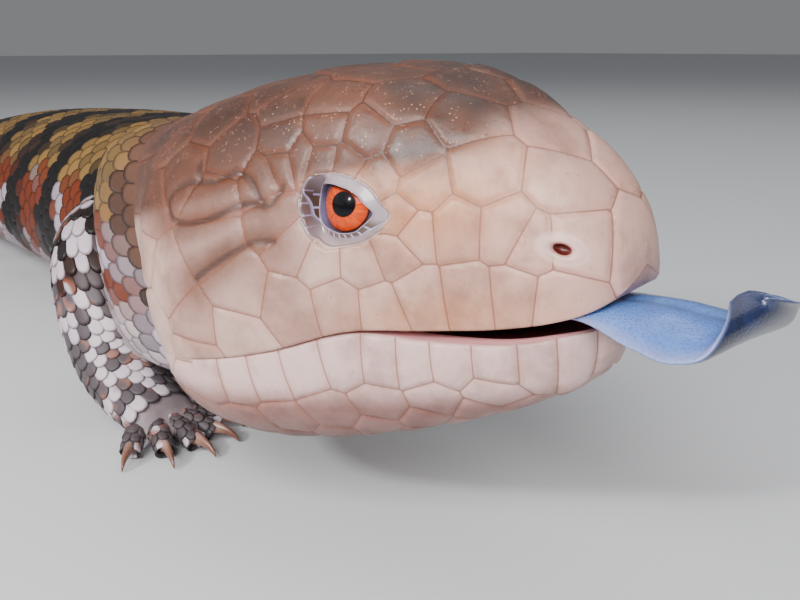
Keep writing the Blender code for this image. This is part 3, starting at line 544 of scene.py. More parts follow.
def scaleTemplate():
    # across and rearward in shares of a scale, height in millimetres, and how near the rim
    shape, count = scaleShape, scaleShape["outline"]
    angle = turns(count) + math.pi / count
    half = (shape["rear"] - shape["front"]) / 2
    middle = (shape["rear"] + shape["front"]) / 2
    lengthPower, widthPower = shape["roundness"]
    lengthwise = np.sign(np.cos(angle)) * np.abs(np.cos(angle))**lengthPower * half
    across = np.sign(np.sin(angle)) * np.abs(np.sin(angle))**widthPower * shape["width share"]
    # the middle, the inner ring, the rim, and the rim's lower edge
    rings = [(np.zeros(1), np.zeros(1), 0.0, 1.0),
             (across * shape["inner ring"], lengthwise * shape["inner ring"], 0.25, 0.75),
             (across, lengthwise, 1.0, 0.0), (across, lengthwise * shape["under"], 2.0, 0.0)]
    x = np.concatenate([ring[0] for ring in rings])
    y = np.concatenate([ring[1] for ring in rings]) + middle
    kind, rim = (np.concatenate([np.full(len(ring[0]), ring[k]) for ring in rings]) for k in (2, 3))
    share = (y - shape["front"]) / (shape["rear"] - shape["front"])
    height = shape["front height"] + (shape["rear height"] - shape["front height"]) * share
    height = height + shape["crown"] * (1 - np.minimum(kind, 1.0))
    height = np.where(kind == 2.0, height - shape["edge"], height)
    faces = []
    a, b, c = 1, 1 + count, 1 + 2 * count
    for step in range(count):
        after = (step + 1) % count
        faces += [(0, a + step, a + after), (a + step, b + step, b + after), (a + step, b + after, a + after),
                  (b + step, c + step, c + after), (b + step, c + after, b + after)]
    return x, y, height, rim, np.array(faces)


def evenCount(perimeter, wide, fewest):
    return max(fewest, int(round(perimeter / wide / 2)) * 2)


def scaleRows(grid, first, last, longShare, countAt):
    # centres as (along, around, width in mm, exposed length in mm)
    places, at, odd = [], first, 0
    while at < last:
        perimeter = float(np.interp(at, grid["along"], grid["perimeter"]))
        count = countAt(perimeter, at)
        width = perimeter / count
        for number in range(count):
            places.append((at, (number + 0.5 * odd) / count, width, width * longShare))
        at += width * longShare
        odd = 1 - odd
    return np.array(places)


def keepOutside(grid, places, others, depth):
    # drops the scales that lie deeper than this inside another part
    centres, _ = onGrid(grid, places[:, 0], places[:, 1])
    kept = np.ones(len(places), bool)
    for other in others:
        rows, columns = other["points"].shape[:2]
        points, faces = closedShell(other["points"])
        tree = BVHTree.FromPolygons([tuple(p) for p in points], faces)
        low, high = points.min(axis=0) - 1, points.max(axis=0) + 1
        for number in np.where(kept & np.all((centres > low) & (centres < high), axis=1))[0]:
            place, normal, index, _ = tree.find_nearest(Vector(centres[number]))
            ring = other["points"][min(index // columns, rows - 1)] if index < (rows - 1) * columns else points
            outward = normal if normal.dot(place - Vector(ring.mean(axis=0))) > 0 else -normal
            if (Vector(centres[number]) - place).dot(outward) < -depth:
                kept[number] = False
    return places[kept]


def makeScales(name, sets, seed):
    # one joined mesh from several grids
    x, y, height, rim, faces = scaleTemplate()
    shape = scaleShape
    rng = np.random.default_rng(seed)
    allPoints, allFaces, patches, start = [], [], [], 0
    values = {"along": [], "around": [], "tone": [], "rim": []}
    for entry in sets:
        grid, places = entry["grid"], entry["places"]
        number = len(places)
        if number == 0:
            continue
        perimeter = np.interp(places[:, 0], grid["along"], grid["perimeter"])
        sway = rng.uniform(-shape["sway"], shape["sway"], (number, 2))
        size = rng.uniform(*shape["sizes"], number)
        lengthwise = places[:, 0:1] + (y[None, :] * size[:, None] + sway[:, 0:1]) * places[:, 3:4]
        roundwise = (places[:, 1:2] + (x[None, :] * size[:, None] + sway[:, 1:2])
                     * (places[:, 2] / perimeter)[:, None])
        corners, normals = onGrid(grid, lengthwise, roundwise)
        lift = height[None, :] * entry["thick"] + rng.uniform(-shape["uneven"], shape["uneven"], (number, 1))
        corners = corners + normals * lift[..., None]
        corners[..., 2] = np.maximum(corners[..., 2], shape["off the floor"])
        allPoints.append(corners.reshape(-1, 3))
        allFaces.append((faces[None] + start + (np.arange(number) * len(x))[:, None, None]).reshape(-1, 3))
        start += number * len(x)
        along, around = entry["marks"](corners[:, 0], places)
        tone = rng.uniform(0, 1, number)
        for key, one in (("along", along), ("around", around), ("tone", tone)):
            values[key].append(np.repeat(one, len(x)))
        values["rim"].append(np.tile(rim, number))
        spread = np.stack([x, y - y.mean()], axis=1) * shape["patch"] / shape["patch span"]
        patches.append((entry["base"](places)[:, None, :] + spread[None]).reshape(-1, 2))
    values = {key: np.concatenate(parts) for key, parts in values.items()}
    piece = makePiece(name, np.concatenate(allPoints), np.concatenate(allFaces), values)
    setPatchMap(piece, np.concatenate(patches))
    return piece


def unwrapBase(low, high, left, right):
    # each scale's place on the bake's map
    def base(places):
        u = left + (right - left) * (places[:, 1] % 1.0)
        v = low + (high - low) * (places[:, 0] - places[:, 0].min()) / max(np.ptp(places[:, 0]), 1e-6)
        return np.stack([u, v], axis=1)
    return base


def bodyMarks(centres, places):
    return places[:, 0], places[:, 1] % 1.0


def legMarks(centres, places):
    # legs take the markings of the flank they stand on
    return nearestOnBody(centres)


bodyScaleRange = {"bodyScalesFront": (61.5, 196.0), "bodyScalesRear": (196.0, 306.0), "tailScales": (306.0, 486.0)}
bodyScales = {
    "first": 61.8, "last": 486.0, "round": 38, "tail from": 312, "tail width": 3.1, "tail fewest": 8, "length": 0.98,
    "inside legs": 1.2, "thin": 0.5, "thin from": 64, "thin to": 92, "seed": 11,
}
legScales = {"width": 2.0, "length": 0.95, "ends": 1.0, "thick": 0.65, "inside body": 0.5, "fewest": 6,
             "pieces": (("forelegScales", "foreleg", 23), ("hindlegScales", "hindleg", 24))}
toeScales = {"width": 1.9, "length": 0.75, "first": 0.6, "past": 0.2, "thick": 0.5, "inside leg": 0.4}
legMap = {"left": 0.02, "step": 0.245, "width": 0.22, "leg": (0.02, 0.70), "toe": (0.74, 0.98),
          "toe step": 0.045, "toe width": 0.038}


def bodyCount(perimeter, at):
    if at < bodyScales["tail from"]:
        return bodyScales["round"]
    return evenCount(perimeter, bodyScales["tail width"], bodyScales["tail fewest"])


def bodyThickness(places):
    # the scales start thin at the head's shields
    thin = bodyScales["thin"]
    return (thin + (1 - thin) * ease(places[:, 0], bodyScales["thin from"], bodyScales["thin to"]))[:, None]


def makeBodyScales():
    made = []
    allRows = scaleRows(bodyGrid, bodyScales["first"], bodyScales["last"], bodyScales["length"], bodyCount)
    allRows = keepOutside(bodyGrid, allRows, [leg["leg"] for leg in legs], bodyScales["inside legs"])
    for name, (low, high) in bodyScaleRange.items():
        rows = allRows[(allRows[:, 0] >= low) & (allRows[:, 0] < high)]
        made.append(makeScales(name, [{"grid": bodyGrid, "places": rows, "thick": bodyThickness(rows),
                                       "marks": bodyMarks, "base": unwrapBase(0.02, 0.98, 0.02, 0.98)}],
                               bodyScales["seed"]))
    return made


def makeLegScales():
    sets = []
    for number, leg in enumerate(legs):
        grid = leg["leg"]
        rows = scaleRows(grid, legScales["ends"], grid["along"][-1] - legScales["ends"], legScales["length"],
                         lambda perimeter, at: evenCount(perimeter, legScales["width"], legScales["fewest"]))
        rows = keepOutside(grid, rows, [bodyGrid], legScales["inside body"])
        left = legMap["left"] + number * legMap["step"]
        sets.append({"kind": leg["kind"], "grid": grid, "places": rows, "thick": legScales["thick"],
                     "marks": legMarks, "base": unwrapBase(*legMap["leg"], left, left + legMap["width"])})
        for toeNumber, toe in enumerate(leg["toes"]):
            rows = scaleRows(toe, toeScales["first"], toe["along"][-1] + toeScales["past"], toeScales["length"],
                             lambda perimeter, at: evenCount(perimeter, toeScales["width"], legScales["fewest"]))
            rows = keepOutside(toe, rows, [grid], toeScales["inside leg"])
            toeLeft = left + toeNumber * legMap["toe step"]
            sets.append({"kind": leg["kind"], "grid": toe, "places": rows, "thick": toeScales["thick"],
                         "marks": legMarks, "base": unwrapBase(*legMap["toe"], toeLeft, toeLeft + legMap["toe width"])})
    return [makeScales(name, [entry for entry in sets if entry["kind"] == kind], seed)
            for name, kind, seed in legScales["pieces"]]


coat = makeBodyScales() + makeLegScales()
for piece in coat:
    print(piece.name, len(piece.data.polygons), "triangles")


# head shell: upper head and jaw in one sheet that joins behind the corner of the mouth

shellShape = {
    "spacing": 0.36, "nose end": 6.0, "nose stations": 28, "chin stations": 15, "head steps": 27, "jaw steps": 24,
    "fades from": 58.5, "fades to": 62.5, "lip": -0.05,
}
shieldShape = {
    "groove": 0.11, "raise": 0.10, "shoulder": 0.28, "dome": 0.12, "dome reach": 2.0, "tilt": 0.035, "tone seed": 5,
}
headShields = {
    "rostral": ((0.2, 0, 0.8),),
    "nasals": ((4.2, 5.6, 2.1), (4.7, 4.7, 7.7), (6.4, 8.4, 2.4)),
    "top": ((8.6, 0, 11.5), (17.5, 0, 16.3), (26.5, 4.4, 18.0), (33.5, 0, 18.9), (37.0, 7.4, 17.2),
            (43.0, 3.0, 17.8), (50.5, 4.0, 16.6), (58.0, 4.0, 15.2)),
    "prefrontals": ((10.8, 8.6, 9.2), (13.9, 6.3, 14.0)),
    "loreals": ((8.4, 9.2, 3.8), (12.7, 11.0, 4.3), (16.6, 12.5, 4.3)),
    "before the eye": ((16.1, 11.4, 8.3), (17.7, 11.0, 11.2), (17.9, 12.7, 5.6)),
    "over the eye": ((20.0, 8.0, 15.6), (21.8, 11.8, 13.0), (27.0, 10.2, 16.4), (26.6, 12.5, 13.8),
                     (31.4, 13.8, 13.2), (32.5, 10.6, 16.2)),
    "brow": ((19.7, 13.1, 9.7), (23.1, 13.7, 10.9), (26.3, 13.8, 11.1), (28.8, 14.1, 11.7), (31.0, 15.0, 11.0)),
    "under the eye": ((25.9, 16.1, 1.9), (21.8, 14.6, 1.5), (18.6, 13.4, 2.4)),
    "behind the eye": ((30.7, 16.8, 6.1), (28.6, 16.8, 3.5), (32.8, 15.6, 9.8)),
    "temporals": ((37.9, 15.2, 12.3), (44.9, 16.7, 10.6), (38.7, 17.9, 8.0), (38.2, 19.3, 4.3),
                  (34.9, 19.3, -0.7), (45.2, 21.2, -0.7), (42.0, 21.1, -5.0), (43.5, 11.8, 15.2),
                  (50.5, 12.6, 13.4), (50.0, 18.2, 7.4), (51.0, 19.8, 1.0), (50.0, 20.0, -4.6),
                  (57.5, 14.0, 9.0), (57.5, 16.6, 2.0), (57.0, 16.8, -5.0), (57.5, 9.6, 13.4)),
    "upper lip": ((4.8, 7.5, -2.6), (8.0, 9.2, -1.8), (12.0, 11.0, -1.7), (16.6, 12.7, -1.8),
                  (20.6, 14.1, -2.9), (24.6, 15.6, -2.4), (29.9, 17.6, -2.6), (36.2, 19.4, -6.0), (42.5, 20.6, -8.6)),
}
jawShields = {
    "mental": ((4.0, 0, -9.0), (8.5, 0, -13.0)),
    "lower lip": ((5.6, 4.6, -9.0), (7.6, 7.0, -9.0), (10.8, 9.6, -8.9), (15.0, 11.4, -8.8), (18.6, 12.6, -8.8),
                  (21.8, 13.7, -8.6), (25.6, 15.1, -8.4), (30.2, 16.9, -9.2), (34.6, 18.2, -10.0),
                  (38.4, 19.2, -10.4), (42.4, 20.0, -10.4)),
}
chinRows = {"rows": ((0.36, 8, 0.0), (0.52, 8, 0.5), (0.68, 9, 0.0), (0.84, 9, 0.5), (1.0, 9, 0.0)),
            "first": 12.0, "length": 5.6}
furrows = {
    "round the temple": ((-30.2, -15.6, 9.0), (-32.2, -16.9, 7.3), (-32.7, -16.7, 7.9), (-34.2, -16.3, 9.8),
                         (-36.7, -16.3, 10.5), (-38.8, -17.1, 9.7), (-43.5, -17.6, 9.5), (-45.6, -18.4, 8.4),
                         (-45.7, -18.8, 7.4), (-44.5, -19.3, 6.2), (-40.1, -19.2, 5.9), (-37.2, -18.3, 6.7),
                         (-34.9, -17.4, 7.5), (-32.2, -16.9, 7.3)),
    "over the cheek": ((-30.8, -17.4, 3.8), (-33.6, -18.2, 3.7), (-35.4, -19.0, 2.9), (-38.1, -20.2, 1.5),
                       (-40.4, -20.8, 0.1)),
    "up from the temple": ((-41.4, -17.4, 9.7), (-41.9, -16.8, 10.7), (-42.5, -16.1, 11.5)),
}
# the furrows' depth and width in the shell, and how far the painted shade round them reaches
furrowShape = {"depth": 0.26, "width": 0.42, "foldShade": 3.6, "points": 28}
eyeShape = {
    "centre": (-23.3, -10.5, 6.2), "look": (0.124, -0.976, 0.181), "radius": 4.6,
    "cornea reach": 38.0, "cornea": 0.3, "lid radius": 5.2,
    "rim": ((3.15, -0.55), (2.65, 0.1), (2.0, 0.92), (1.1, 1.52), (-0.4, 2.0), (-2.4, 2.2), (-3.8, 1.95),
            (-4.4, 1.1), (-4.4, 0.1), (-4.1, -0.7), (-3.2, -1.5), (-1.9, -2.05), (-0.75, -2.4), (0.45, -2.45),
            (1.45, -2.25), (2.15, -1.75), (2.7, -1.3)),
    "outline": ((4.6, -0.65), (4.1, 0.2), (3.25, 1.6), (1.85, 2.6), (-0.1, 3.2), (-3.3, 3.35), (-4.9, 2.9),
                (-5.7, 1.7), (-5.8, 0.4), (-5.4, -1.6), (-4.5, -3.2), (-2.9, -4.2), (-0.7, -4.1), (1.5, -3.65),
                (2.7, -3.1), (3.9, -2.1)),
    "middle": (-0.4, -0.1), "bulge": 5.2, "bulge blend": 0.16, "bulge reach": 3, "dive": (0.84, 0.94),
    "dive depth": 3.4, "glint": (0.85, 0.72), "shade": (0.25, 0.6), "shade turn": 0.15, "shade side": (-0.1, 0.35),
}
pits = {
    "nostril": {"place": (-4.0, -6.9, 2.0), "along": (0.86, 0.5, -0.42), "half": (1.0, 0.56),
                "depth": 0.8, "lip": 0.16},
    "ear": {"place": (-56.0, -16.4, -2.0), "along": (0.1, 0.0, 1.0), "half": (2.7, 1.8), "depth": 3.0, "lip": 0.2},
}
pitShape = {
    # lengths in mm, and shares of a pit's half width
    "normal reach": 0.9, "reach": 2.0, "seam": 0.4, "width": 0.85, "lip place": 1.4, "lip width": 0.4,
    # the painted shade of an ear opening fills it up to this share
    "ear shade to": 0.999, "seam reach": 1.5,
}
maskShape = {
    "crown slope": (0.16, 26), "crown height": (8.0, 13.0), "crown back": (7, 17),
    # middle and length along the head, height and reach up and down, strength
    "peach": ((14, 8, 7, 5, 1.0), (15, 9, -4.0, 2.6, 0.8)), "peach out": (4, 8),
}


def mirrored(points):
    return np.asarray(points, float) * (1, -1, 1)


def shieldSeeds():
    head, jaw = [], []
    for shields, found in ((headShields, head), (jawShields, jaw)):
        for group in shields.values():
            for back, out, up in group:
                found.append((-back, -out, up))
                if out > 0:
                    found.append((-back, out, up))
    for share, count, shift in chinRows["rows"]:
        for number in range(count):
            back = chinRows["first"] + chinRows["length"] * (number + shift)
            if back > napeBack:
                continue
            half = arch(guidePoints(jawShape, back), 8)
            half = half[:len(half) // 2 + 1]
            walk = walkAlong(half)
            out, up = (np.interp(share * walk[-1], walk, half[:, k]) for k in (0, 1))
            jaw.append((-back, out, up))
            if share < 1:
                jaw.append((-back, -out, up))
    return np.array(head + jaw), np.array([False] * len(head) + [True] * len(jaw))


def nearestShield(points, isJaw, seeds, seedIsJaw):
    # label of the nearest shield, and the distance to its seam
    labels = np.empty(len(points), int)
    seam = np.empty(len(points))
    between = np.linalg.norm(seeds[:, None] - seeds[None], axis=2)
    np.fill_diagonal(between, 1.0)
    for first in range(0, len(points), 8000):
        part = slice(first, first + 8000)
        apart = np.linalg.norm(points[part, None] - seeds[None], axis=2)
        inFront = points[part, 0] > -mouthShape["corner"]
        wrong = inFront[:, None] & (isJaw[part, None] != seedIsJaw[None])
        apart = np.where(wrong, 1e3, apart)
        own = np.argmin(apart, axis=1)
        rows = np.arange(len(own))
        reach = (apart**2 - apart[rows, own][:, None]**2) / (2 * between[own])
        reach[rows, own] = 1e3
        reach = np.where(wrong, 1e3, reach)
        labels[part], seam[part] = own, reach.min(axis=1)
    return labels, seam


def cutAtSeams(points, tris, isJaw, seeds, seedIsJaw):
    # parts every triangle where the nearest shield changes
    labels, seam = nearestShield(points, isJaw, seeds, seedIsJaw)
    pairs = np.sort(tris[:, [0, 1, 1, 2, 2, 0]].reshape(-1, 2), axis=1)
    pairs = np.unique(pairs, axis=0)
    pairs = pairs[labels[pairs[:, 0]] != labels[pairs[:, 1]]]
    one, two = points[pairs[:, 0]], points[pairs[:, 1]]
    first, second = seeds[labels[pairs[:, 0]]], seeds[labels[pairs[:, 1]]]
    across = second - first
    slope = np.einsum("ij,ij->i", two - one, across)
    share = np.einsum("ij,ij->i", (first + second) / 2 - one, across) / np.where(np.abs(slope) < 1e-9, 1e-9, slope)
    share = np.clip(share, 0.04, 0.96)
    crossing = one + (two - one) * share[:, None]
    size = len(points)
    code = {(a, b): size + k for k, (a, b) in enumerate(pairs.tolist())}
    out, extra = [], []
    same = (labels[tris[:, 0]] == labels[tris[:, 1]]) & (labels[tris[:, 1]] == labels[tris[:, 2]])
    base = size + len(pairs)
    for a, b, c in tris[~same].tolist():
        la, lb, lc = labels[a], labels[b], labels[c]
        if la == lb or lb == lc or la == lc:
            o, p, q = (c, a, b) if la == lb else (a, b, c) if lb == lc else (b, c, a)
            m, n = code[(min(o, p), max(o, p))], code[(min(o, q), max(o, q))]
            out += [(o, m, n), (m, p, q), (m, q, n)]
        else:
            ab, bc, ca = (code[(min(i, j), max(i, j))] for i, j in ((a, b), (b, c), (c, a)))
            middle = base + len(extra)
            extra.append((crossing[ab - size] + crossing[bc - size] + crossing[ca - size]) / 3)
            out += [(a, ab, middle), (a, middle, ca), (b, bc, middle), (b, middle, ab),
                    (c, ca, middle), (c, middle, bc)]
    extra = np.array(extra).reshape(-1, 3)
    added = len(pairs) + len(extra)
    allPoints = np.vstack([points, crossing, extra])
    allTris = np.vstack([tris[same], np.array(out)])
    crossJaw = isJaw[pairs[:, 0]] & isJaw[pairs[:, 1]]
    allJaw = np.concatenate([isJaw, crossJaw, np.zeros(len(extra), bool)])
    if len(extra):
        allJaw[-len(extra):] = extra[:, 2] < -8.0
    allLabels = np.concatenate([labels, np.full(added, -1)])
    allSeam = np.concatenate([seam, np.zeros(added)])
    return allPoints, allTris, allJaw, allLabels, allSeam


def smoothLine(line):
    line = np.array(line, float)
    places = walkAlong(line)
    return followLine(places, line, np.linspace(0, places[-1], furrowShape["points"]))


def nearLines(points, lines):
    best = np.full(len(points), 1e3)
    for line in lines:
        line = np.asarray(line, float)
        for start, end in zip(line, line[1:]):
            along = end - start
            share = np.clip((points - start) @ along / (along @ along), 0, 1)
            best = np.minimum(best, np.linalg.norm(points - start - share[:, None] * along, axis=1))
    return best


def headSheets():
    # points, outer faces, mouth faces, which points are the jaw's, and how deep in the mouth they are
    corner, shape = mouthShape["corner"], shellShape
    noseEnd, chin = shape["nose end"], jawShape["back"][0]
    common = np.arange(noseEnd, napeBack + 0.01, shape["spacing"])
    nose = np.linspace(0, math.sqrt(noseEnd), shape["nose stations"])[:-1]**2
    chinFront = chin + np.linspace(0, math.sqrt(noseEnd - chin), shape["chin stations"])[:-1]**2
    headBacks, jawBacks = np.concatenate([nose, common]), np.concatenate([chinFront, common])
    upper = np.array([arch(guidePoints(headShape, back), shape["head steps"]) for back in headBacks])
    lower = np.array([arch(guidePoints(jawShape, back), shape["jaw steps"]) for back in jawBacks])
    shares = np.linspace(1, -1, mouthShape["columns"] + 2)[1:-1]
    points, indices = [], {}

    def add(name, section, backs):
        section = np.dstack([np.repeat(-backs[:, None], section.shape[1], axis=1), section])
        indices[name] = (np.arange(section.shape[0] * section.shape[1]).reshape(section.shape[:2])
                         + sum(len(p) for p in points))
        points.append(section.reshape(-1, 3))

    def inner(rings, backs, depth):
        fade = (1 - ease(backs, corner - mouthShape["fade"], corner)) * ease(backs, *mouthShape["opens"])
        out, up = rings[:, -1, 0], rings[:, -1, 1]
        dip = depth * fade[:, None] * (1 - shares[None]**4)
        if depth < 0:
            ridge = np.exp(-((np.abs(shares[None]) - mouthShape["gum place"]) / mouthShape["gum width"])**2)
            dip = dip + mouthShape["gum"] * fade[:, None] * ridge
        return np.dstack([out[:, None] * shares[None], up[:, None] + dip])

    def quads(grid, flip):
        a, b, c, d = grid[:-1, :-1], grid[:-1, 1:], grid[1:, 1:], grid[1:, :-1]
        found = np.stack([a, b, c, a, c, d], axis=-1).reshape(-1, 3)
        return found[:, ::-1] if flip else found

    add("upper", upper, headBacks)
    add("lower", lower, jawBacks)
    headInner = headBacks <= corner + shape["spacing"]
    jawInner = jawBacks <= corner + shape["spacing"]
    add("palate", inner(upper[headInner], headBacks[headInner], mouthShape["palate"]), headBacks[headInner])
    add("basin", inner(lower[jawInner], jawBacks[jawInner], -mouthShape["basin"]), jawBacks[jawInner])
    # behind the corner both sheets share their edges, and the mouth closes there
    up, low = indices["upper"], indices["lower"]
    joined = np.where(jawBacks > corner)[0]
    above = joined + len(headBacks) - len(jawBacks)
    low[joined, 0], low[joined, -1] = up[above, 0], up[above, -1]
    indices["basin"][-1] = indices["palate"][-1]
    palate = np.hstack([up[headInner][:, -1:], indices["palate"], up[headInner][:, :1]])
    basin = np.hstack([low[jawInner][:, -1:], indices["basin"], low[jawInner][:, :1]])
    points = np.vstack(points)
    isJaw = np.zeros(len(points), bool)
    isJaw[low.ravel()] = True
    isJaw[up.ravel()] = False
    # 1 deep in the mouth, less at its rim and on the gum of the lower jaw: the mask of the mouth's darker red and
    # painted shade
    deep = np.zeros(len(points))
    deep[indices["palate"]] = (ease(headBacks[headInner], *mouthShape["shade along"])[:, None]
                               * (1 - ease(np.abs(shares), *mouthShape["shade across"])))
    tone = mouthShape["floor tone"]
    deep[indices["basin"]] = tone + (1 - tone) * (1 - ease(np.abs(shares), *mouthShape["floor shade"]))
    return (points, np.vstack([quads(up, False), quads(low, True)]),
            np.vstack([quads(palate, False), quads(basin, True)]), isJaw, deep)


def sideFrame(side):
    # an eye's middle, and the directions outwards, forwards and up there
    sign = 1 if side == "right" else -1
    flip = np.array((1, sign, 1))
    centre = np.array(eyeShape["centre"]) * flip
    look = unit(np.array(eyeShape["look"]) * flip)
    forward = unit(np.cross((0, 0, 1), look)) * sign
    forward = forward if forward[0] > 0 else -forward
    up = np.cross(look, forward)
    up = up if up[2] > 0 else -up
    return centre, look, forward, up


def pitFrame(pit, sign, points, normals):
    # a pit's place on the skin, its length and breadth directions, and the points round it
    place = np.array(pit["place"]) * (1, sign, 1)
    apart = np.linalg.norm(points - place, axis=1)
    place = points[int(np.argmin(apart))].copy()
    apart = np.linalg.norm(points - place, axis=1)
    normal = unit(normals[apart < pitShape["normal reach"]].mean(axis=0))
    along = unit(np.array(pit["along"]) * (1, sign, 1))
    along = unit(along - normal * (along @ normal))
    return place, along, np.cross(normal, along), np.where(apart < max(pit["half"]) + pitShape["reach"])[0]


def shieldRelief(points, labels, seam, seeds):
    # seams are grooves, and each shield is a low dome whose rear edge stands up a little
    shape = shieldShape
    rise = 1 - np.exp(-(seam / shape["shoulder"])**2)
    own = seeds[np.maximum(labels, 0)]
    rearward = np.where(labels >= 0, -(points - own)[:, 0], 0)
    return (-shape["groove"] + (shape["groove"] + shape["raise"]) * rise
            + shape["dome"] * (1 - np.exp(-seam / shape["dome reach"])) + shape["tilt"] * rearward * rise)


def sinkPits(points, normals, lift, seam):
    # hollows the nostrils and ears, and gives the mask of the painted shade in the ear openings
    mask = np.zeros(len(points))
    for key, pit in pits.items():
        for sign in (1, -1):
            place, along, across, near = pitFrame(pit, sign, points, normals)
            away = points[near] - place
            ratio = np.sqrt((away @ along / pit["half"][0])**2 + (away @ across / pit["half"][1])**2)
            hollow = np.exp(-(ratio / pitShape["width"])**4)
            lip = pit["lip"] * np.exp(-((ratio - pitShape["lip place"]) / pitShape["lip width"])**2)
            lift[near] = (1 - hollow) * (lift[near] + lip) - hollow * pit["depth"]
            if key == "ear":
                mask[near] = np.maximum(mask[near], ratio < pitShape["ear shade to"])
            noSeam = np.maximum(seam[near], pitShape["seam"])
            seam[near] = np.where(ratio < pitShape["seam reach"], noSeam, seam[near])
    return mask


def swellOverEyes(points, onSkin):
    # the shell bulges over the eyeballs
    bulge = eyeShape["bulge"]
    for side in sides:
        centre, look, _, _ = sideFrame(side)
        away = points - centre
        reach = np.linalg.norm(away, axis=1)
        wanted = (reach + bulge + np.sqrt((reach - bulge)**2 + eyeShape["bulge blend"])) / 2
        swell = onSkin & (away @ look > 0) & (reach < bulge + eyeShape["bulge reach"])
        points = np.where(swell[:, None], centre + away * (wanted / reach)[:, None], points)
    return points


def diveUnderLids(points, onSkin):
    # the shell dives under the lids
    middle = eyeShape["middle"]
    for side in sides:
        centre, look, forward, up = sideFrame(side)
        away = points - centre
        a, b, h = away @ forward, away @ up, away @ look
        reach = closedCurve(eyeShape["outline"], middle, np.arctan2(b - middle[1], a - middle[0]))
        ratio = np.hypot(a - middle[0], b - middle[1]) / reach
        dive = (1 - ease(ratio, *eyeShape["dive"])) * (h > 0) * onSkin
        points = points - look * (dive * eyeShape["dive depth"])[:, None]
    return points


def headMasks(points, isJaw, fold):
    # where the material changes: crown, peach-brown patches, and the distance to the furrows, which places the painted
    # shade in and round them
    x, y, z = points.T
    back, out = -x, np.abs(y)
    slope, start = maskShape["crown slope"]
    patches = sum(strength * np.exp(-((back - middle) / length)**2) * np.exp(-((z - height) / tall)**2)
                  for middle, length, height, tall, strength in maskShape["peach"])
    return {
        "crown": (ease(z + slope * np.maximum(back - start, 0), *maskShape["crown height"])
                  * ease(back, *maskShape["crown back"])),
        "peach": patches * ease(out, *maskShape["peach out"]) * ~isJaw,
        "fold": fold, "foldShade": np.exp(-(fold / furrowShape["foldShade"])**2), "jaw": isJaw.astype(float),
    }


def makeHead():
    points, outer, mouth, isJaw, deep = headSheets()
    seeds, seedIsJaw = shieldSeeds()
    points, tris, isJaw, labels, seam = cutAtSeams(points, outer, isJaw, seeds, seedIsJaw)
    deep = np.concatenate([deep, np.zeros(len(points) - len(deep))])
    normals = pointNormals(points, tris)
    outwards = np.where(np.einsum("ij,ij->i", normals, points * (0, 1, 1) + (0, 0, 2)) > 0, 1, -1)
    if outwards.mean() < 0:
        normals, tris, mouth = -normals, tris[:, ::-1], mouth[:, ::-1]
    onSkin, inMouth = np.zeros(len(points), bool), np.zeros(len(points), bool)
    onSkin[tris.ravel()] = True
    inMouth[mouth.ravel()] = True
    lift = shieldRelief(points, labels, seam, seeds)
    lines = [smoothLine(line) for line in furrows.values()]
    fold = nearLines(points, lines + [mirrored(line) for line in lines])
    lift -= np.exp(-(fold / furrowShape["width"])**2) * furrowShape["depth"]
    earShadeMask = sinkPits(points, normals, lift, seam)
    lift = lift * (1 - ease(-points[:, 0], shellShape["fades from"], shellShape["fades to"]))
    lift = np.where(inMouth & onSkin, shellShape["lip"], lift)
    shaped = points + normals * np.where(onSkin, lift, 0.0)[:, None]
    shaped = swellOverEyes(shaped, onSkin)
    tree = BVHTree.FromPolygons([tuple(p) for p in shaped], tris.tolist())
    shaped = diveUnderLids(shaped, onSkin)
    tones = np.random.default_rng(shieldShape["tone seed"]).uniform(0, 1, len(seeds) + 1)
    values = {
        "place": points, "seam": seam, "tone": np.where(labels >= 0, tones[labels], 0.5),
        "mouth": np.where(inMouth & ~onSkin, deep, 0.0), "pit": earShadeMask, **headMasks(points, isJaw, fold),
    }
    piece = makePiece("headSkin", headToWorld(shaped), np.vstack([tris, mouth]), values)
    applyModifier(piece, "WELD", merge_threshold=0.00001)
    place, along = pitFrame(pits["nostril"], 1, points, normals)[:2]
    return piece, tree, (place * (1, -1, 1), along * (1, -1, 1))


headSkin, headTree, nostrilPlace = makeHead()
print("head shell", len(headSkin.data.polygons), "triangles")


# eyelids: a ring of small plates round the opening, sunk into the head at its outer edge

lidShape = {
    "round": 300, "rows": 44, "inner rows": 7, "thickness": 0.5, "turns in": 0.5, "turn dip": 0.035,
    "turn drop": 0.10, "clearance": 0.02, "ray": 14,
    # shares of the way from the rim to the outline: where rows end, and where the lid joins the shell
    "first row": 0.34, "second row": 0.74, "upper rows": (0.42, 0.2), "joins": (0.30, 1.0), "rear joins": 0.6,
    "sink": 0.3, "sinks": (0.75, 1.0), "rear": (3.6, 4.8), "lower turn": 0.35, "lower": (-0.25, 0.35),
    "cells": (22, 24, 20), "shift": 0.37, "groove": 0.09, "row groove": 0.03, "plate groove": 0.085,
    "upper groove": 0.25, "rear groove": 0.5, "roll": 0.12, "roll place": 0.03, "roll width": 0.05,
}


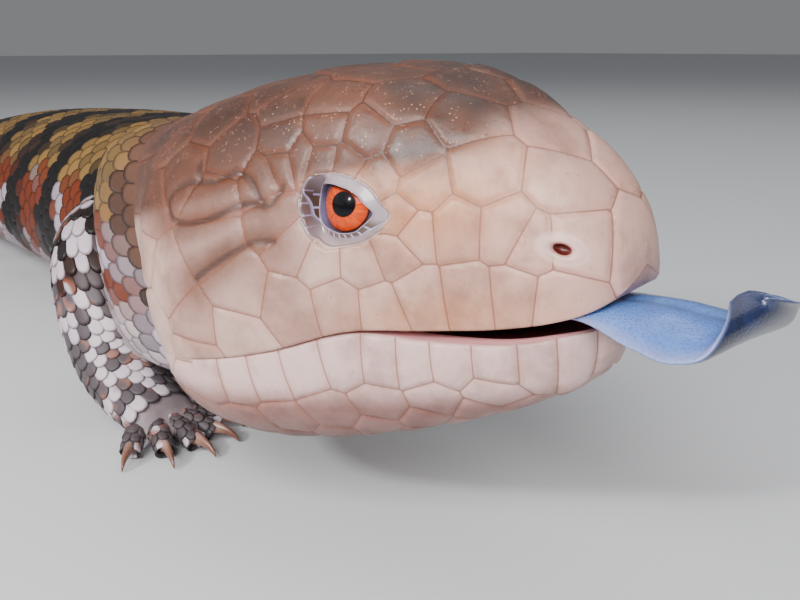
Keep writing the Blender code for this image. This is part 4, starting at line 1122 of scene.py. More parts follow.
def makeLids(side):
    shape = lidShape
    centre, look, forward, up = sideFrame(side)
    middle = np.array(eyeShape["middle"])
    angles = np.linspace(-math.pi, math.pi, shape["round"], endpoint=False)
    ways = np.stack([np.cos(angles), np.sin(angles)], axis=1)
    rim = closedCurve(eyeShape["rim"], middle, angles)
    outline = closedCurve(eyeShape["outline"], middle, angles)
    radius = eyeShape["lid radius"]
    lower = ease(-np.sin(angles + shape["lower turn"]), *shape["lower"])  # 1 on the lower lid, 0 on the upper
    edges = [shape[key] + drop * (1 - lower) for key, drop in zip(("first row", "second row"), shape["upper rows"])]
    rows, values = [], {"cell": [], "band": [], "rear": [], "share": []}

    def addRow(flat, height, **given):
        rows.append(centre + flat[:, :1] * forward + flat[:, 1:] * up + height[:, None] * look)
        for key, value in given.items():
            values[key].append(value * np.ones(len(angles)))

    for number in range(shape["inner rows"], 0, -1):
        # the edge of the lid turns in and runs down behind the opening, on the eye
        turn = number / shape["inner rows"]
        reach = rim * (1 - shape["turn dip"] * math.sin(turn * math.pi)) + shape["turns in"] * turn
        ball = radius - shape["thickness"] * (1 - math.cos(turn * math.pi / 2)) - shape["turn drop"] * turn
        flat = middle + ways * (reach - shape["clearance"])[:, None]
        height = np.sqrt(np.maximum(ball**2 - (flat**2).sum(axis=1), 0.5))
        addRow(flat, height, cell=1.0, band=0.0, rear=0.0, share=0.0)
    for share in np.linspace(0, 1, shape["rows"]):
        reach = rim + (outline - rim) * share
        flat = middle + ways * reach[:, None]
        sphere = np.sqrt(np.maximum(radius**2 - (flat**2).sum(axis=1), 0.6))
        heights = []
        for (a, b), fallback in zip(flat, sphere):
            start = centre + forward * a + up * b + look * shape["ray"]
            place, _, _, apart = headTree.ray_cast(Vector(start), Vector(-look))
            heights.append(shape["ray"] - apart if place is not None else fallback)
        rear = ease(-flat[:, 0], *shape["rear"])
        joinFrom, joinTo = shape["joins"]
        mix = ease(share, joinFrom * (1 - rear), joinTo - (joinTo - shape["rear joins"]) * rear)
        height = (1 - mix) * sphere + mix * (np.array(heights) - shape["sink"] * ease(share, *shape["sinks"]))
        # grooves between the rows, and between the plates of a row
        groove = np.max([np.exp(-((share - edge) / shape["row groove"])**2) for edge in edges], axis=0)
        row = 0 if share < shape["first row"] else 1 if share < shape["second row"] else 2
        count = shape["cells"][row]
        phase = (angles * count / (2 * math.pi) + shape["shift"] * row) % 1.0
        gap = np.minimum(phase, 1 - phase) * 2 * math.pi / count * reach
        strength = np.maximum(lower, rear) if row == 0 else shape["upper groove"] * lower + shape["rear groove"] * rear
        between = np.exp(-(gap / shape["plate groove"])**2) * strength * ease(share, 0.02, 0.08)
        groove = np.maximum(groove, between)
        roll = shape["roll"] * math.exp(-((share - shape["roll place"]) / shape["roll width"])**2)
        # the material's rows: up to 1 in the first row, then 1.4 and 2
        firstRow = 0.15 + 0.85 * lower * ease(share, 0.03, 0.06)
        band = np.where(share < edges[0], firstRow, 2.0 if row == 2 else 1.4)
        addRow(flat, height + roll - groove * shape["groove"], cell=1 - groove, band=band, rear=rear, share=share)
    points = np.array(rows)
    faces = gridFaces(*points.shape[:2])
    if side == "left":
        faces = faces[:, ::-1]
    values = {key: np.concatenate(parts) for key, parts in values.items()}
    piece = makePiece("lids_" + side, headToWorld(points.reshape(-1, 3)), faces, values)
    u = np.tile(np.arange(len(angles)) / len(angles), len(rows)) * 0.96 + 0.02
    v = np.repeat(np.arange(len(rows)) / len(rows), len(angles)) * 0.96 + 0.02
    setPatchMap(piece, np.stack([u, v], axis=1))
    return piece


lids = {side: makeLids(side) for side in sides}
print("lids", len(lids["right"].data.polygons), "faces each")


# eyes: a ball with a bulging front

def corneaReach(turn):
    # distance from the ball's middle, by the angle in degrees from where it looks
    return eyeShape["radius"] + eyeShape["cornea"] * max(0.0, 1 - (turn / eyeShape["cornea reach"])**2)**1.5


def makeEye(side):
    centre, look, forward, up = sideFrame(side)
    axis = Vector(headMatrix[:3, :3] @ look)
    bpy.ops.object.select_all(action="DESELECT")
    bpy.ops.mesh.primitive_uv_sphere_add(segments=128, ring_count=96, radius=eyeShape["radius"] * mm,
                                         location=headToWorld(centre)[0] * mm,
                                         rotation=axis.to_track_quat("Z", "Y").to_euler())
    eye = bpy.context.active_object
    eye.name = "eyeball_" + side
    bpy.ops.object.transform_apply(location=True, rotation=True, scale=True)
    bpy.ops.object.shade_smooth()
    ball = headToWorld(centre)[0]
    right, over, ahead = (headMatrix[:3, :3] @ way for way in (forward, up, look))
    places = []
    for vertex in eye.data.vertices:
        away = unit(np.array(vertex.co) / mm - ball)
        turn = math.degrees(math.acos(max(-1, min(1, float(away @ ahead)))))
        away = away * corneaReach(turn)
        vertex.co = Vector((ball + away) * mm)
        places.append((away @ right, away @ over, away @ ahead))
    # the upper lid's shade on the ball
    middle = np.array(eyeShape["middle"])
    flat = np.array(places)[:, :2] - middle
    angles = np.arctan2(flat[:, 1], flat[:, 0])
    inside = closedCurve(eyeShape["rim"], middle, angles) - np.hypot(flat[:, 0], flat[:, 1])
    upper = ease(np.sin(angles - eyeShape["shade turn"]), *eyeShape["shade side"])
    addLayer(eye, "shade", (1 - ease(inside, *eyeShape["shade"])) * upper)
    addLayer(eye, "eyePlace", places)
    return eye


eyes = {side: makeEye(side) for side in sides}
print("eyes made")


# tongue: broad and flat, its tip curled up, with a shallow groove

tongueShape = {
    "line": ((-34, 0, -8.1), (-24, 0, -7.2), (-13, 0, -6.6), (-3.5, 0, -5.2), (2.5, 0, -5.5),
             (6.5, 0, -6.1), (9.4, 0, -6.0), (10.9, 0, -4.7), (11.4, 0, -2.8)),
    "half width": (4.8, 5.4, 5.8, 6.1, 7.3, 7.8, 7.2, 5.2, 2.0),
    "droop": (0, 0, 0, 0.2, 1.5, 1.6, 0.8, 0, 0),
    "half thickness": (1.1, 1.3, 1.1, 0.9, 1.2, 1.2, 1.0, 0.7, 0.4),
    "groove": 0.35, "groove width": 0.16, "rows": 150, "columns": 96,
}


def makeTongue():
    shape = tongueShape
    shares = np.linspace(0, 1, shape["rows"])
    rings, _ = tubeRings(headToWorld(shape["line"]), shape["half width"], shape["half thickness"], shares,
                         shape["columns"], shape["droop"])
    angle = math.pi / 2 + turns(shape["columns"])
    across, over = np.cos(angle), np.sin(angle)
    places, points = [], []
    for ring, share in zip(rings, shares):
        rise = ring[0] - ring.mean(axis=0)
        thick = np.linalg.norm(rise)
        dip = shape["groove"] * np.exp(-(across / shape["groove width"])**2) * (over > 0) * min(1.0, thick)
        points.append(ring - unit(rise) * dip[:, None])
        places.append(np.stack([np.full(len(ring), share), across, over], axis=1))
    shell, faces = closedShell(points)
    values = np.vstack([np.vstack(places), (0, 0, 0), (1, 0, 0)])
    tongue = makePiece("tongueSkin", shell, faces, {"tonguePlace": values})
    turnOutwards(tongue)
    return tongue


tongueSkin = makeTongue()
print("tongue made")


# claws: one curved claw, copied to each toe

def clawModel():
    # a cone, 1 high, cut into rings
    bpy.ops.object.select_all(action="DESELECT")
    bpy.ops.mesh.primitive_cone_add(vertices=clawShape["sides"], radius1=1.0, radius2=0.06, depth=1.0,
                                    location=(0, 0, 0.5))
    model = bpy.context.active_object
    bpy.ops.object.transform_apply(location=True, rotation=True, scale=True)
    rings = clawShape["rings"]
    for level in range(1, rings + 1):
        bpy.ops.object.mode_set(mode="EDIT")
        bpy.ops.mesh.select_all(action="SELECT")
        bpy.ops.mesh.bisect(plane_co=(0, 0, level / (rings + 1)), plane_no=(0, 0, 1))
        bpy.ops.object.mode_set(mode="OBJECT")
    return model


def bendClaw(base, line):
    # the cone's points, moved onto a claw's line
    places = np.array([0, 0.5, 1.0])
    share = np.clip(base[:, 2], 0, 1)
    ahead = unit(followLine(places, line, np.minimum(share + 0.02, 1))
                 - followLine(places, line, np.maximum(share - 0.02, 0)))
    side = unit(np.cross(ahead, (0, 0, 1)))
    rise = np.cross(side, ahead)
    radius = np.linalg.norm(base[:, :2], axis=1) / np.maximum(1 - 0.94 * share, 0.06)
    taper = clawShape["radius"] * (1 - share**clawShape["taper power"] * clawShape["taper"])
    turn = np.arctan2(base[:, 1], base[:, 0])
    spots = (followLine(places, line, share)
             + (np.cos(turn) * radius * taper * clawShape["flatness"])[:, None] * side
             + (np.sin(turn) * radius * taper)[:, None] * rise)
    spots[:, 2] = np.maximum(spots[:, 2], clawShape["off the floor"])
    return spots, share


def makeClaws():
    model = clawModel()
    base = np.array([tuple(vertex.co) for vertex in model.data.vertices])
    copies = []
    for line in (line for leg in legs for line in leg["claws"]):
        copy = model.copy()
        copy.data = model.data.copy()
        bpy.context.scene.collection.objects.link(copy)
        spots, share = bendClaw(base, line)
        for vertex, spot in zip(copy.data.vertices, spots):
            vertex.co = Vector(spot * mm)
        addLayer(copy, "share", share)
        copies.append(copy)
    bpy.data.objects.remove(model)
    bpy.ops.object.select_all(action="DESELECT")
    for copy in copies:
        copy.select_set(True)
    bpy.context.view_layer.objects.active = copies[0]
    bpy.ops.object.join()
    claws = bpy.context.active_object
    claws.name = "claws"
    claws.data.shade_smooth()
    return claws


claws = makeClaws()
print("claws made")


# colours and node helpers

def colour(code):
    parts = [int(code[k:k + 2], 16) / 255 for k in (1, 3, 5)]
    return tuple(((p + 0.055) / 1.055)**2.4 if p > 0.04045 else p / 12.92 for p in parts) + (1.0,)


def feed(tree, socket, value):
    # a colour code, a number or tuple, or another node's output
    if isinstance(value, str):
        socket.default_value = colour(value)
    elif isinstance(value, (int, float, tuple)):
        socket.default_value = value
    else:
        tree.links.new(value, socket)


def put(tree, kind, inputs=None, **settings):
    node = tree.nodes.new(kind)
    for key, value in settings.items():
        setattr(node, key, value)
    for key, value in (inputs or {}).items():
        feed(tree, node.inputs[key], value)
    return node


def attribute(tree, name, output="Fac"):
    return put(tree, "ShaderNodeAttribute", attribute_name=name).outputs[output]


def sums(tree, operation, *values, clamp=False):
    return put(tree, "ShaderNodeMath", dict(enumerate(values)), operation=operation, use_clamp=clamp).outputs[0]


def times(tree, first, second, clamp=False):
    return sums(tree, "MULTIPLY", first, second, clamp=clamp)


def plus(tree, first, second):
    return sums(tree, "ADD", first, second)


def minus(tree, first, second):
    return sums(tree, "SUBTRACT", first, second)


def fade(tree, value, low, high, out=(0.0, 1.0)):
    limits = {"Value": value, "From Min": low, "From Max": high, "To Min": out[0], "To Max": out[1]}
    return put(tree, "ShaderNodeMapRange", limits, interpolation_type="SMOOTHSTEP").outputs["Result"]


def mix(tree, share, first, second, blend="MIX"):
    # sockets 6 and 7 of the node are its two colours, and output 2 is the mixed one
    return put(tree, "ShaderNodeMix", {0: share, 6: first, 7: second}, data_type="RGBA", blend_type=blend).outputs[2]


def cover(tree, base, mask, look, name):
    # one of the look's colours over the base, as strong as its share
    share = look.get(name + " share")
    return mix(tree, mask if share is None else times(tree, mask, share), base, look[name])


def noise(tree, vector, scale, detail=3.0, rough=0.55):
    grain = {"Vector": vector, "Scale": scale, "Detail": detail, "Roughness": rough}
    return put(tree, "ShaderNodeTexNoise", grain).outputs["Fac"]


def dotDistance(tree, vector, scale):
    return put(tree, "ShaderNodeTexVoronoi", {"Vector": vector, "Scale": scale}).outputs["Distance"]


def joinVector(tree, *values):
    return put(tree, "ShaderNodeCombineXYZ", dict(enumerate(values))).outputs[0]


def placeParts(tree, name):
    # the three numbers of a point's attribute
    return put(tree, "ShaderNodeSeparateXYZ", {0: attribute(tree, name, "Vector")}).outputs


def objectPlace(tree):
    return put(tree, "ShaderNodeTexCoord").outputs["Object"]


def newGroup(name, inputs, outputs):
    # inputs are numbers with their defaults, or None for a vector
    group = bpy.data.node_groups.new(name, "ShaderNodeTree")
    for key, default in inputs.items():
        kind = "NodeSocketVector" if default is None else "NodeSocketFloat"
        socket = group.interface.new_socket(name=key, in_out="INPUT", socket_type=kind)
        if default is not None:
            socket.default_value = default
    for key, kind in outputs.items():
        group.interface.new_socket(name=key, in_out="OUTPUT", socket_type=kind)
    return group, put(group, "NodeGroupInput").outputs, put(group, "NodeGroupOutput").inputs


def useGroup(tree, group, **values):
    return put(tree, "ShaderNodeGroup", values, node_tree=group).outputs


def newMaterial(name, finish):
    material = bpy.data.materials.new(name)
    material.use_nodes = True
    tree = material.node_tree
    shader = tree.nodes["Principled BSDF"].inputs
    for key, value in finish.items():
        shader[key].default_value = value
    return material, tree, shader


def bumpInto(tree, shader, height, strength, distance):
    node = put(tree, "ShaderNodeBump", {"Strength": strength, "Distance": distance, "Height": height})
    feed(tree, shader["Normal"], node.outputs["Normal"])


# fine grain of horny skin: tiny pits and dust specks

grainLook = {
    "coarse": (220.0, 4.0, 0.6), "fine": (1500.0, 3.0, 0.65), "dust": 1500.0, "patches": (500.0, 2.0),
    "dust fades": (0.30, 0.12), "patches fade": (0.50, 0.62), "fine height": 0.6, "coarse height": 0.4,
}


def buildSkinGrain():
    look, number = grainLook, "NodeSocketFloat"
    group, given, found = newGroup("skinGrain", {"Vector": None, "Fineness": 1.0},
                                   {"Mottle": number, "Specks": number, "Height": number})
    scaled = {0: given["Vector"], "Scale": given["Fineness"]}
    vector = put(group, "ShaderNodeVectorMath", scaled, operation="SCALE").outputs[0]
    coarse, fine, patchy = (noise(group, vector, *look[key]) for key in ("coarse", "fine", "patches"))
    dust = dotDistance(group, vector, look["dust"])
    feed(group, found["Mottle"], coarse)
    feed(group, found["Specks"], times(group, fade(group, dust, *look["dust fades"]),
                                       fade(group, patchy, *look["patches fade"]), clamp=True))
    feed(group, found["Height"], plus(group, times(group, fine, look["fine height"]),
                                      times(group, coarse, look["coarse height"])))
    return group


# the markings of the body, the same for skin and scales

bodyLook = {
    "black": "#120E0C", "brown": "#38241A", "gold": "#8E6B38", "olive": "#5E4A2C", "rust": "#6E2C10",
    "lilac": "#B5A8B4", "pale": "#C2B0AC", "outline": "#4A3F4A", "neck": "#5E4032",
    # steps along and around, height, and the noise's scale and detail
    "wobble": (0.02, 4.0, 0.0, 2.2, 2.0), "patch": (0.05, 9.0, 3.0, 2.0, 2.0),
    # dark bands across the back
    "band pitch": 0.215, "band wobble": 4.2, "band tone": 0.55, "dark": (-0.15, 0.18), "brown scales": (0.7, 0.9),
    "rust patches": (0.42, 0.50), "flank patch": 0.8, "flank bands": (0.55, 0.85),
    "belly patch": 0.6, "belly bands": (0.95, 1.15),
    # where back, flank and belly meet, from 0 on the back to 1 below
    "flank from": (0.36, 0.42), "flank edge": 0.25, "belly from": (0.58, 0.70),
    # the nape takes the head's dusty brown
    "nape side": (0.4, 0.7), "nape scales": (0.55, 0.65), "nape ends": (68.0, 78.0), "nape edge": 16.0,
}


def bodyNoise(tree, along, around, steps):
    alongStep, aroundStep, height, scale, detail = steps
    place = joinVector(tree, times(tree, along, alongStep), times(tree, around, aroundStep), height)
    return noise(tree, place, scale, detail)


def buildBodyMarkings():
    look = bodyLook
    tree, given, found = newGroup("bodyMarkings", {"Along": 0.0, "Around": 0.0, "Tone": 0.5},
                                  {"Color": "NodeSocketColor"})
    along, around, tone = (given[key] for key in ("Along", "Around", "Tone"))
    # 0 at the middle of the back, 1 at the middle of the belly
    turn = minus(tree, 1.0, sums(tree, "ABSOLUTE", minus(tree, times(tree, around, 2.0), 1.0)))
    wobble = bodyNoise(tree, along, around, look["wobble"])
    patch = bodyNoise(tree, along, around, look["patch"])
    wave = sums(tree, "SINE", plus(tree, times(tree, along, look["band pitch"]),
                                   times(tree, wobble, look["band wobble"])))
    wave = plus(tree, wave, times(tree, minus(tree, tone, 0.5), look["band tone"]))
    gold = mix(tree, tone, look["gold"], look["olive"])
    black = mix(tree, fade(tree, tone, *look["brown scales"]), look["black"], look["brown"])
    back = mix(tree, fade(tree, wave, *look["dark"]), gold, black)
    flank = mix(tree, fade(tree, patch, *look["rust patches"]), look["lilac"], look["rust"])
    flankBands = fade(tree, plus(tree, wave, times(tree, patch, look["flank patch"])), *look["flank bands"])
    flank = mix(tree, flankBands, flank, look["black"])
    flankFrom = plus(tree, turn, times(tree, minus(tree, patch, 0.5), look["flank edge"]))
    side = mix(tree, fade(tree, flankFrom, *look["flank from"]), back, flank)
    bellyBands = fade(tree, plus(tree, wave, times(tree, patch, look["belly patch"])), *look["belly bands"])
    belly = mix(tree, bellyBands, mix(tree, tone, look["pale"], look["lilac"]), look["rust"])
    whole = mix(tree, fade(tree, turn, *look["belly from"]), side, belly)
    napeSide = mix(tree, fade(tree, tone, *look["nape scales"]), look["lilac"], look["black"])
    nape = mix(tree, fade(tree, turn, *look["nape side"]), look["neck"], napeSide)
    napeEnds = fade(tree, plus(tree, along, times(tree, patch, look["nape edge"])), *look["nape ends"])
    feed(tree, found["Color"], mix(tree, napeEnds, nape, whole))
    return tree


# thin lines where shields meet

def buildSeamLine():
    group, given, found = newGroup("seamLine", {"Distance": 0.0, "Width": 0.2}, {"Line": "NodeSocketFloat"})
    share = sums(group, "DIVIDE", given["Distance"], given["Width"])
    feed(group, found["Line"], fade(group, share, 1.0, 0.25))
    return group


skinGrain = buildSkinGrain()
bodyMarkings = buildBodyMarkings()
seamLine = buildSeamLine()


# scales, and the skin between them

scaleLook = {
    "finish": {"Specular IOR Level": 0.22, "Coat Weight": 0.02, "Coat Roughness": 0.3, "Subsurface Weight": 0.06,
               "Subsurface Radius": (0.002, 0.001, 0.0006), "Subsurface Scale": 0.6},
    "roughness": (0.40, 0.56), "fineness": 0.8, "bump": (0.3, 0.00015), "shade": "#5A4438", "shade share": 0.35,
    "rim": (0.45, 0.0), "rim share": 0.62,
    # legs: white-lilac plates with black and red-brown ones among them
    "leg share": 0.85, "leg noise": (95.0, 2.0), "leg tone": 0.45, "leg pale": "#C3B6BF",
    "leg brown": "#7A4630", "leg browns": (0.66, 0.72), "leg black": "#1C1412", "leg blacks": (0.72, 0.77),
}
skinLook = {
    "finish": {"Roughness": 0.6}, "tone": 0.5, "fineness": 1.0, "bump": (0.4, 0.0002),
    "dull": "#6A5A5E", "dull share": 0.55, "shade": "#3A2E2C", "shade share": 0.5,
}


def scaleMaterial(name, onLegs):
    look = scaleLook
    material, tree, shader = newMaterial(name, look["finish"])
    vector = objectPlace(tree)
    along, around, tone, rim = (attribute(tree, key) for key in ("along", "around", "tone", "rim"))
    marks = useGroup(tree, bodyMarkings, Along=along, Around=around, Tone=tone)["Color"]
    grain = useGroup(tree, skinGrain, Vector=vector, Fineness=look["fineness"])
    if onLegs:
        mixed = plus(tree, noise(tree, vector, *look["leg noise"]), times(tree, tone, look["leg tone"]))
        plates = mix(tree, fade(tree, mixed, *look["leg browns"]), look["leg pale"], look["leg brown"])
        plates = mix(tree, fade(tree, mixed, *look["leg blacks"]), plates, look["leg black"])
        marks = mix(tree, look["leg share"], marks, plates)
    shade = mix(tree, times(tree, grain["Mottle"], 0.5), marks, look["shade"], "MULTIPLY")
    shade = mix(tree, look["shade share"], marks, shade)
    rims = times(tree, fade(tree, rim, *look["rim"]), look["rim share"])
    feed(tree, shader["Base Color"], mix(tree, rims, shade, bodyLook["outline"], "MULTIPLY"))
    feed(tree, shader["Roughness"], fade(tree, grain["Mottle"], 0.3, 0.7, look["roughness"]))
    bumpInto(tree, shader, grain["Height"], *look["bump"])
    return material


def skinMaterial():
    look = skinLook
    material, tree, shader = newMaterial("skinBetweenScales", look["finish"])
    along, around = attribute(tree, "along"), attribute(tree, "around")
    marks = useGroup(tree, bodyMarkings, Along=along, Around=around, Tone=look["tone"])["Color"]
    grain = useGroup(tree, skinGrain, Vector=objectPlace(tree), Fineness=look["fineness"])
    dull = mix(tree, look["dull share"], marks, look["dull"], "MULTIPLY")
    feed(tree, shader["Base Color"], cover(tree, dull, grain["Mottle"], look, "shade"))
    bumpInto(tree, shader, grain["Height"], *look["bump"])
    return material


# the head's horn: cheeks, crown, jaw, seams and furrows, nostrils and mouth; painted shade in the furrows, ear
# openings, nostrils, mouth and under the jaw, and partly painted highlight on the snout

headLook = {
    "finish": {"Coat Weight": 0.06, "Coat Roughness": 0.25, "Subsurface Weight": 0.12,
               "Subsurface Radius": (0.003, 0.0013, 0.0008), "Subsurface Scale": 0.5},
    "roughness": (0.38, 0.55), "bump": (0.5, 0.0002), "fineness": 1.0, "grit fineness": 1.7,
    "cloud": (90.0, 3.0, 0.6), "cheek": "#A67F71", "pale": "#C2A094", "pale tone": 0.25, "pale from": (0.42, 0.78),
    # snout: paler towards the tip, partly its own colour and partly painted highlight
    "snout": "#CE9F90", "snout from": (-14.0, -3.0), "snout share": 0.6, "peach": "#BC7C4E", "peach share": 0.75,
    "crown": "#5A3220", "crown dark": "#2E1910", "crown mottle": 0.6, "crown pale": (0.62, 0.95),
    "crown edge": (0.0, 0.7), "crown cloud": 0.6, "crown share": 0.94,
    "dust": "#5C2010", "dust crown": 0.6, "dust all": 0.2, "grit": "#D9A58E", "grit share": 0.55,
    "jaw": "#C9A8A2", "jaw low": "#8A625A", "jaw lows": (-11.0, -14.5),
    # painted shade under the jaw and on the throat
    "jaw under": "#6A3C30", "jaw unders": (-16.0, -20.0),
    # the first colour below is painted shade round the furrows
    "foldShade": "#5E321C", "foldShade cloud": 0.8, "foldShade all": 0.42, "mottle": "#8B6A5E", "mottles": (0.4, 0.72, (0.0, 0.42)),
    "seam": "#74402F", "seam dark": "#2E1810", "seam width": 0.13, "seam share": 0.7,
    "halo": "#9A4C24", "halo width": 0.8, "halo share": 0.12,
    # painted shade in the furrows' creases
    "creaseShade": "#2A140C", "furrows": (0.55, 0.12), "creaseShade cloud": 0.7, "creaseShade all": 0.3,
    # the pit colour is painted shade in the ear openings and in the middle of the nostrils
    "pit": "#4E1410", "nasal": "#DDB8AE", "nasal share": 0.6, "nostril rim": (0.4, 1.0),
    # mouth: darker red deep in the mouth, partly its own colour and partly painted shade
    "mouth": "#8E3C42", "gum": "#CC8C8C", "mouth from": (0.0, 0.2), "deep from": (0.35, 0.9),
}
nostrilLook = {
    "outwards": (0.35, 0.93, 0.0), "oval": (1.05, 0.8), "ring": (1.0, 1.3), "ring ends": (2.9, 2.1),
    "reach": 4.0,
}


def nostrilMask(tree, ahead, out, height):
    # an oval and the ring round it, measured in the head's frame on either side
    look = nostrilLook
    place, along = nostrilPlace
    across = unit(np.cross(look["outwards"], along))
    terms = []
    for way, half in zip((along, across), pits["nostril"]["half"]):
        x, y, z = (times(tree, minus(tree, value, float(middle)), float(share / half))
                   for value, middle, share in zip((ahead, out, height), place, way))
        total = plus(tree, plus(tree, x, y), z)
        terms.append(times(tree, total, total))
    ratio = sums(tree, "SQRT", plus(tree, *terms))
    ring = times(tree, fade(tree, ratio, *look["ring"]), fade(tree, ratio, *look["ring ends"]))
    apart = sums(tree, "ABSOLUTE", minus(tree, ahead, float(place[0])))
    near = sums(tree, "LESS_THAN", apart, look["reach"])
    return times(tree, fade(tree, ratio, *look["oval"]), near), times(tree, ring, near)


def headMaterial():
    look = headLook
    material, tree, shader = newMaterial("headHorn", look["finish"])
    vector = objectPlace(tree)
    ahead, aside, height = placeParts(tree, "place")
    seam, tone, crown, peach, jaw = (attribute(tree, key) for key in ("seam", "tone", "crown", "peach", "jaw"))
    fold, foldShade, mouth, pit = (attribute(tree, key) for key in ("fold", "foldShade", "mouth", "pit"))
    grain = useGroup(tree, skinGrain, Vector=vector, Fineness=look["fineness"])
    grit = useGroup(tree, skinGrain, Vector=vector, Fineness=look["grit fineness"])["Specks"]
    mottle, cloud = grain["Mottle"], noise(tree, vector, *look["cloud"])
    paleness = fade(tree, plus(tree, cloud, times(tree, tone, look["pale tone"])), *look["pale from"])
    base = mix(tree, paleness, look["cheek"], look["pale"])
    # paler towards the snout tip: partly its own paler colour and partly painted highlight
    base = cover(tree, base, fade(tree, ahead, *look["snout from"]), look, "snout")
    base = cover(tree, base, peach, look, "peach")
    crownPale = fade(tree, plus(tree, cloud, times(tree, mottle, look["crown mottle"])), *look["crown pale"])
    crownTop = mix(tree, crownPale, look["crown dark"], look["crown"])
    crownEdge = plus(tree, crown, times(tree, minus(tree, cloud, 0.5), look["crown cloud"]))
    crownMask = fade(tree, crownEdge, *look["crown edge"])
    base = mix(tree, times(tree, crownMask, look["crown share"]), base, crownTop)
    dusty = plus(tree, times(tree, crownMask, look["dust crown"]), look["dust all"])
    base = cover(tree, base, times(tree, grain["Specks"], dusty), look, "dust")
    base = cover(tree, base, times(tree, grit, crownMask), look, "grit")
    # the lower jaw is near white above and mauve-brown below, with painted shade underneath, on the throat
    low = mix(tree, fade(tree, height, *look["jaw lows"]), look["jaw"], look["jaw low"])
    low = cover(tree, low, fade(tree, height, *look["jaw unders"]), look, "jaw under")
    base = mix(tree, jaw, base, low)
    # painted shade round the furrows
    foldShading = plus(tree, times(tree, cloud, look["foldShade cloud"]), look["foldShade all"])
    base = cover(tree, base, times(tree, foldShade, foldShading), look, "foldShade")
    base = mix(tree, fade(tree, mottle, *look["mottles"]), base, look["mottle"], "MULTIPLY")
    line = useGroup(tree, seamLine, Distance=seam, Width=look["seam width"])["Line"]
    halo = useGroup(tree, seamLine, Distance=seam, Width=look["halo width"])["Line"]
    base = cover(tree, base, halo, look, "halo")
    seamColour = mix(tree, crownMask, look["seam"], look["seam dark"])
    base = mix(tree, times(tree, line, look["seam share"]), base, seamColour)
    # painted shade in the furrows' creases
    creaseShading = plus(tree, times(tree, cloud, look["creaseShade cloud"]), look["creaseShade all"])
    base = cover(tree, base, times(tree, fade(tree, fold, *look["furrows"]), creaseShading), look, "creaseShade")
    # painted shade in the ear openings
    base = cover(tree, base, pit, look, "pit")
    oval, ring = nostrilMask(tree, ahead, sums(tree, "ABSOLUTE", aside), height)
    base = cover(tree, base, ring, look, "nasal")
    # the nostrils: gum colour at the rim, painted shade in the middle
    inside = mix(tree, fade(tree, oval, *look["nostril rim"]), look["gum"], look["pit"])
    base = mix(tree, oval, base, inside)
    # the mouth: gum at its rim, darker red deeper in, partly the flesh's own colour and partly painted shade
    flesh = mix(tree, fade(tree, mouth, *look["deep from"]), look["gum"], look["mouth"])
    base = mix(tree, fade(tree, mouth, *look["mouth from"]), base, flesh)
    feed(tree, shader["Base Color"], base)
    feed(tree, shader["Roughness"], fade(tree, mottle, 0.3, 0.7, look["roughness"]))
    bumpInto(tree, shader, grain["Height"], *look["bump"])
    return material


lidLook = {
    "finish": {"Roughness": 0.28, "Coat Weight": 0.5, "Coat Roughness": 0.12, "Subsurface Weight": 0.08,
               "Subsurface Radius": (0.002, 0.001, 0.0008), "Subsurface Scale": 0.4},
    "fineness": 1.3, "bump": (0.2, 0.0001),
    # where a plate goes from its gap's colour to its own, and the two colours
    "first": (0.35, 0.9, "#B9B2DA", "#5E463A"), "upper": (0.1, 0.8, "#5C4038", "#A5959C"),
    "second": (0.1, 0.8, "#6E5048", "#9A8688"), "third": (0.1, 0.8, "#8A6454", "#BCA39C"),
    "rear": (0.35, 0.9, "#9C93B8", "#3E281C"), "rear share": 0.7,
    "first band": (0.2, 0.8), "second band": (1.1, 1.35), "third band": (1.6, 1.9),
    "edge": "#A79AC0", "edge ends": (0.05, 0.0), "mottle": "#7A5A50", "mottle share": 0.25,
}


def lidMaterial():
    look = lidLook
    material, tree, shader = newMaterial("lidScales", look["finish"])
    cell, band, share, rear = (attribute(tree, key) for key in ("cell", "band", "share", "rear"))
    grain = useGroup(tree, skinGrain, Vector=objectPlace(tree), Fineness=look["fineness"])

    def plates(name):
        low, high, gap, plate = look[name]
        return mix(tree, fade(tree, cell, low, high), gap, plate)

    base = mix(tree, fade(tree, band, *look["first band"]), plates("upper"), plates("first"))
    base = mix(tree, fade(tree, band, *look["second band"]), base, plates("second"))
    base = mix(tree, fade(tree, band, *look["third band"]), base, plates("third"))
    base = cover(tree, base, fade(tree, share, *look["edge ends"]), look, "edge")
    base = mix(tree, times(tree, rear, look["rear share"]), base, plates("rear"))
    mottle = times(tree, grain["Mottle"], look["mottle share"])
    feed(tree, shader["Base Color"], mix(tree, mottle, base, look["mottle"], "MULTIPLY"))
    bumpInto(tree, shader, grain["Height"], *look["bump"])
    return material


eyeLook = {
    "finish": {"Roughness": 0.3, "Coat Weight": 0.4, "Coat Roughness": 0.02, "Coat IOR": 1.33,
               "Specular IOR Level": 0.05},
    "pupil place": (0.12, 0.27), "pupil half": (1.38, 1.22), "iris place": (-0.3, 0.02), "iris half": (2.8, 2.3),
    "pupil": (0.002, 0.002, 0.003, 1), "iris": "#D8541A", "deep": "#9C2A08", "deep from": (0.7, 1.0),
    "streaks": (3.0, 4.0, 0.7), "streak turn": 6.0, "streak out": 0.5, "streak fades": (0.35, 0.68),
    "ring": "#24100C", "ring from": (0.97, 1.02), "white from": (1.02, 1.1),
    "near white": "#574A55", "white": "#8A7F86", "whites": (1.08, 1.4), "pupil edge": (1.04, 0.96),
    "shade": "#2E0604", "shade share": 0.85,
}


def ovalRadius(tree, x, y, middle, halves):
    # 1 on the oval's edge
    terms = [sums(tree, "DIVIDE", minus(tree, value, place), half)
             for value, place, half in zip((x, y), middle, halves)]
    return sums(tree, "SQRT", plus(tree, *(times(tree, term, term) for term in terms)))


